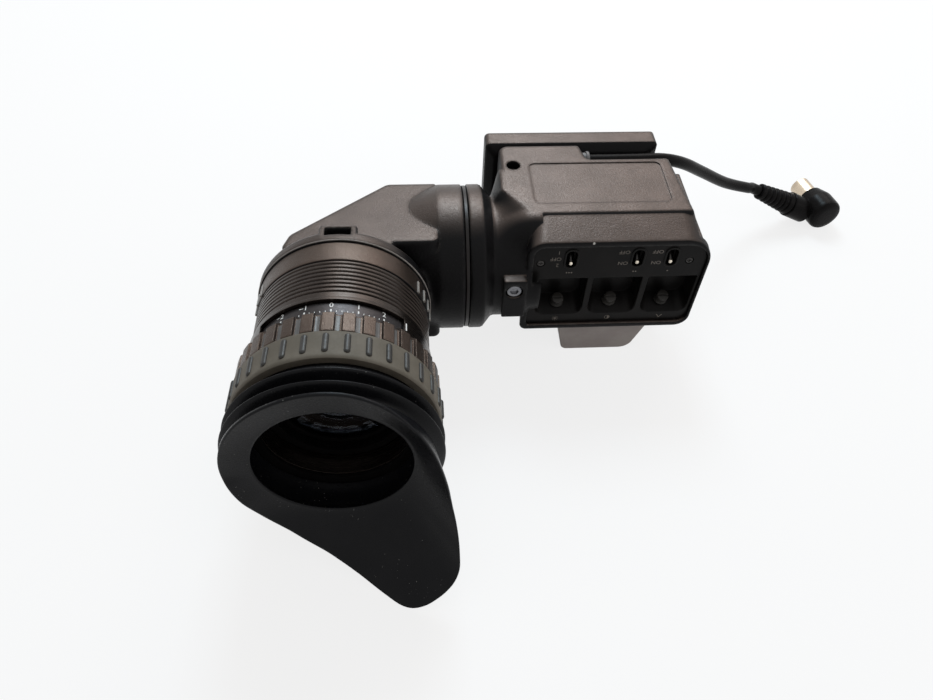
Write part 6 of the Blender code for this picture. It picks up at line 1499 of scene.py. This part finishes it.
last = relief_start - relief_aim * CLEAR
route, cord_length = smooth_route(list(ROUTE) + [last - relief_aim * CORD_RADIUS * 2, last], 48)
curve = bpy.data.curves.new("signal_cord", "CURVE")
curve.dimensions = "3D"
spline = curve.splines.new("POLY")
spline.points.add(len(route) - 1)
for point, place in zip(spline.points, route):
    point.co = (*(place + SWIVEL), 1)
curve.bevel_depth = CORD_RADIUS
curve.bevel_resolution = 6
curve.use_fill_caps = True
curve.materials.append(jacket)
cord = new_object("signal_cord", curve)
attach(cord, "housing")
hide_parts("cord")
print("cord", round(cord_length, 4), "m")
gland_profile = [
    (0, 0.0478), (0.0034, 0.0478), (0.0034, 0.0541), (0.0039, 0.0541), (0.0040, 0.0543), (0.0040, 0.0549),
    (0.0038, 0.0554), (0.0034, 0.0556), (0, 0.0556),
]
finish_piece(
    "gland", turned(gland_profile, 48, "X"), housing_frame @ shift(0, GLAND_Y, GLAND_Z), "housing", gland_grey,
    ["cable_gland"],
)

# %% [markdown]
# A ribbed relief keeps the cord from bending sharply where it meets the plug. Its ribs are one
# small shape repeated along a widening cone. The plug's body, its neck and its bare metal tube
# are turned profiles too, each on the axis that it has on the real plug.

# %% Strain relief and plug


def aimed(start, aim):
    """A frame that starts at a point and has its axis Z along the aim."""
    return housing_frame @ Matrix.Translation(start) @ aim.to_track_quat("Z", "Y").to_matrix().to_4x4()


relief_frame = aimed(relief_start, relief_aim)
relief_profile = [(0, 0), (0.0037, 0), (0.0040, 0.0003)]
RELIEF_LENGTH, THIN_END, THICK_END = 0.0200, 0.0040, 0.0058
RELIEF_RIBS = 6
RIB_SHAPE = ((0.97, 0.08), (0.86, 0.18), (0.86, 0.42), (0.97, 0.52), (1, 0.62))
pitch = RELIEF_LENGTH / (RELIEF_RIBS + 1)
for i in range(RELIEF_RIBS):
    at = pitch * (i + 0.6)
    grow = THIN_END + (THICK_END - THIN_END) * at / RELIEF_LENGTH
    relief_profile.append((grow, at - 0.0002))
    relief_profile += [(grow * wide, at + pitch * far) for wide, far in RIB_SHAPE]
relief_profile += [(THICK_END, RELIEF_LENGTH - 0.0002), (THICK_END - 0.0002, RELIEF_LENGTH), (0, RELIEF_LENGTH)]
relief = finish_piece(
    "ribbed_relief", turned(relief_profile, 48), relief_frame, "housing", jacket,
    ["strain_relief"],
)
PLUG, PLUG_LENGTH, PLUG_FRONT = 0.0085, 0.0165, 0.0068
plug_at = Vector((0.1950, 0.0564, -0.0314))
plug_frame = aimed(plug_at, Vector((0.1892, 0.0828, -0.0314)) - plug_at)
plug_profile = [
    (0, 0), (PLUG * 0.55, 0), (PLUG * 0.74, PLUG * 0.02), (PLUG * 0.90, PLUG * 0.08), (PLUG * 0.97, PLUG * 0.18),
    (PLUG, PLUG * 0.34), (PLUG, PLUG_LENGTH * 0.58), (PLUG * 0.985, PLUG_LENGTH * 0.64),
    (PLUG_FRONT * 1.04, PLUG_LENGTH * 0.89), (PLUG_FRONT, PLUG_LENGTH * 0.94), (PLUG_FRONT * 0.96, PLUG_LENGTH),
    (0, PLUG_LENGTH),
]
reach = (plug_neck - relief_start).length
neck_profile = [
    (0, 0.0203), (0.0059, 0.0203), (0.0063, 0.0206), (0.0064, 0.0210), (0.0064, reach + 0.0048),
    (0, reach + 0.0048),
]
to_plug = plug_frame.inverted() @ relief_frame
plug_mesh = machined(turned(plug_profile, 72), [placed(turned(neck_profile, 48), to_plug)])
plug = finish_piece("plug_moulding", plug_mesh, plug_frame, "housing", jacket, ["plug_body"])
tube_profile = [
    (0.0049, PLUG_LENGTH + 0.0003), (0.0050, PLUG_LENGTH + 0.0004), (0.0050, PLUG_LENGTH + 0.0100),
    (0.0048, PLUG_LENGTH + 0.0103), (0.0041, PLUG_LENGTH + 0.0103), (0.0040, PLUG_LENGTH + 0.0101),
    (0.0040, PLUG_LENGTH + 0.0009), (0, PLUG_LENGTH + 0.0009), (0, PLUG_LENGTH + 0.0003),
]
tube = finish_piece(
    "plug_tube", turned(tube_profile, 64), plug_frame, "housing", nickel, ["plug_shell"],
)

# %% [markdown]
# Inside the metal tube sits a black insert with a few pins. The cord is declared with all the
# pieces on it, so that its length and its bends are measured.

# %% Plug insert and pins
insert_start = PLUG_LENGTH + 0.0012
insert = rod(0.0037, insert_start, insert_start + 0.0055, 48, "Z", 0.0002)
pin_seat = placed(rod(0.0006, insert_start + 0.0040, insert_start + 0.0070, 16), shift(0.0021))
insert = machined(insert, [], [repeated(pin_seat, 6, black_plastic, turn=60)])
insert_piece = finish_piece(
    "pin_insert", insert, plug_frame, "housing", black_plastic, ["plug_insert"],
)
pin = placed(rod(0.00042, insert_start + 0.0038, insert_start + 0.0060, 12, "Z", 0.0001), shift(0.0021))
pins = finish_piece(
    "plug_pins", repeated(pin, 6, bright_metal, turn=60), plug_frame, "housing", bright_metal,
)

# %% [markdown]
# Two screws hold the plate, and a thin ring shows in the gap of the swivel joint.

# %% Plate screws and swivel ring
socket_head = machined(
    rod(0.0029, -0.0022, -CLEAR, 48, "Y", 0.0003), [rod(0.0015, -0.0160, -0.0020, 32, "Y")],
    [rod(0.0014, -0.0014, 0.001, 6, "Y")],
)
screw_step = tuple(b - a for a, b in zip(*SCREW_PLACES))
screw_x, _, screw_z = SCREW_PLACES[0]
finish_piece(
    "plate_screws", repeated(socket_head, 2, black_metal, screw_step),
    housing_frame @ shift(screw_x, PLATE_BACK, screw_z), "housing", black_metal,
    ["plate_screw_a", "plate_screw_b"],
)
finish_piece(
    "swivel_ring", ring(0.0265, 0.0300, -0.0007, 0.0007, 0.0002, 144, "X"), housing_frame, "housing", light_ring,
    ["swivel_washer"],
)

# %% [markdown]
# The lettering is printed in grey, upside down in this pose like the rest of the object. The
# switches say ON and OFF, the three-position one has plain numbers, and small plain signs
# stand under the knobs: a sun, a half-filled disc and a peak.

# %% Lettering and signs
UPSIDE_DOWN = Matrix(((-1, 0, 0), (0, 0, -1), (0, -1, 0))).transposed().to_4x4()


def on_panel(x, z):
    """A matrix that lays flat letters on the panel's face, turned half round."""
    return housing_frame @ shift(x, PANEL_FACE, z) @ UPSIDE_DOWN


THROW, WORD_HEIGHT = 0.0030, 0.0018
words = bmesh.new()
for text, x, rise in (
    ("1", 0.0362, 0.0034), ("OFF", 0.0352, 0), ("2", 0.0362, -0.0034), ("OFF", 0.0625, THROW),
    ("ON", 0.0628, -THROW), ("OFF", 0.0761, THROW), ("ON", 0.0764, -THROW),
):
    add_to(words, placed(lettering(text, WORD_HEIGHT), on_panel(x, SLOT_Z + rise)))
finish_piece("switch_words", words, Matrix(), "housing", grey_mark, weighted=False)


def flat(outline):
    """An outline printed: as thick as the letters."""
    return prism(outline, -INK / 2, INK / 2)


def disc(radius, steps, start=0.0, sweep=360.0):
    """The outline of a disc, or of a part of it."""
    return arc(radius, [math.radians(start + sweep * k / steps) for k in range(steps + (sweep < 360))])


signs = bmesh.new()
for x, kind in zip(WELLS, ("sun", "half", "peak")):
    at = on_panel(x - 0.0006, -0.0182)
    if kind == "sun":
        add_to(signs, placed(flat(disc(0.00055, 24)), at))
        ray = flat(rectangle(0.00085, 0.00135, -0.00012, 0.00012))
        add_to(signs, placed(repeated(ray, 8, grey_mark, turn=45), at))
    elif kind == "half":
        add_to(signs, placed(flat(disc(0.00115, 24, 90, 180)), at))
        add_to(signs, placed(ring(0.00100, 0.00120, -INK / 2, INK / 2, 0, 48), at))
    else:
        half_peak = [(0.0, 0.0006), (0.0010, -0.0009), (0.0014, -0.0009), (0.0, 0.0011)]
        peak = [(-0.0014, -0.0009), (-0.0010, -0.0009)] + half_peak
        add_to(signs, placed(flat(peak), at))
for x, count in zip(SLOTS, (3, 2, 1)):
    dot_row = flat(disc(0.00032, 20))
    first = x + 0.0005 * (count - 1)
    add_to(signs, placed(repeated(dot_row, count, grey_mark, (0.0010, 0, 0)), on_panel(first, SLOT_Z - 0.0078)))
finish_piece("control_signs", signs, Matrix(), "housing", grey_mark, weighted=False)

# %% [markdown]
# The parts inside keep the model's own shapes. They are seen only through a bore or when the
# covers come off, but each still has its finish: glass, copper winding, board, mirror.

# %% Glass, mirror and the parts inside


def glass_finish(name, tint, rough, level):
    """Clear glass with a faint smear."""
    look = Finish(name, Metallic=0.0, Specular_IOR_Level=level, IOR=1.5, Transmission_Weight=1.0)
    smear = look.noise(60, 3, 0.6)
    look.feed("Base Color", look.mix(look.smooth(smear, 0.3, 0.7), tint, tuple(v * 0.92 for v in tint)))
    look.feed("Roughness", look.smooth(smear, 0.3, 0.7, rough, rough + 0.02))
    return look.look


def board_finish(name):
    """A green circuit board with the shadows of its tracks."""
    look = Finish(name, Metallic=0.0, Specular_IOR_Level=0.4)
    tracks = look.smooth(look.cells(900), 0.10, 0.16)
    patches = look.smooth(look.noise(300, 2), 0.5, 0.56)
    look.feed("Base Color", look.mix(tracks * patches, (0.012, 0.055, 0.020), (0.030, 0.095, 0.035)))
    look.feed("Roughness", look.smooth(look.noise(700, 2), 0.3, 0.7, 0.30, 0.45))
    return look.look


def winding_finish(name):
    """Copper wire wound in bands."""
    look = Finish(name, Metallic=0.9, Specular_IOR_Level=0.5)
    bands = {"wave_type": "BANDS", "bands_direction": "DIAGONAL"}
    turns = look.node("ShaderNodeTexWave", bands, {"Vector": look.place, "Scale": 420.0})
    look.feed("Base Color", look.mix(turns, (0.22, 0.060, 0.022), (0.50, 0.19, 0.075)))
    look.feed("Roughness", look.smooth(turns, 0.0, 1.0, 0.50, 0.32))
    look.feed("Normal", look.relief(turns, 0.0002, 0.5))
    return look.look


lens_coat = glass_finish("coated_lens", (0.50, 0.54, 0.60), 0.01, 0.02)
tube_glass = plain_finish("tube_glass", (0.050, 0.056, 0.054), (0.066, 0.072, 0.070), 0.10, level=0.5, edge=0)
mirror_silver = plain_finish(
    "mirror_silver", (0.80, 0.82, 0.83), (0.86, 0.88, 0.89), 0.06, metallic=1.0, relief=0.00001,
)
lamp_red = plain_finish("lamp_red", (0.30, 0.016, 0.010), (0.38, 0.022, 0.013), 0.22, level=0.5)
green_board = board_finish("green_board")
copper = winding_finish("copper_winding")
inside = {
    lens_coat: ("eye_lens", "field_lens"), tube_glass: ("picture_tube",), mirror_silver: ("mirror",),
    lamp_red: ("tally_lamp",), green_board: ("main_board", "control_board"), copper: ("deflection_yoke",),
    bright_metal: ("hinge_pin",), black_metal: ("mirror_carrier", "swivel_retainer"),
    matte_black: ("lens_cell", "lens_retainer", "eyecup_keeper"),
    knob_plastic: tuple(f"trimmer_{kind}" for kind in TRIMMERS),
    black_plastic: ("high_voltage_module", "tube_seat", "tube_socket", *(f"switch_body_{s}" for s in SWITCHES)),
}
dressed = set()
for look, names in inside.items():
    for name in names:
        for held in nodes[name].material_slots:
            held.material = look
        dressed.add(name)
left_over = [n for n, o in nodes.items() if not o.hide_render and n not in dressed]
print("nodes without a finish:", left_over)
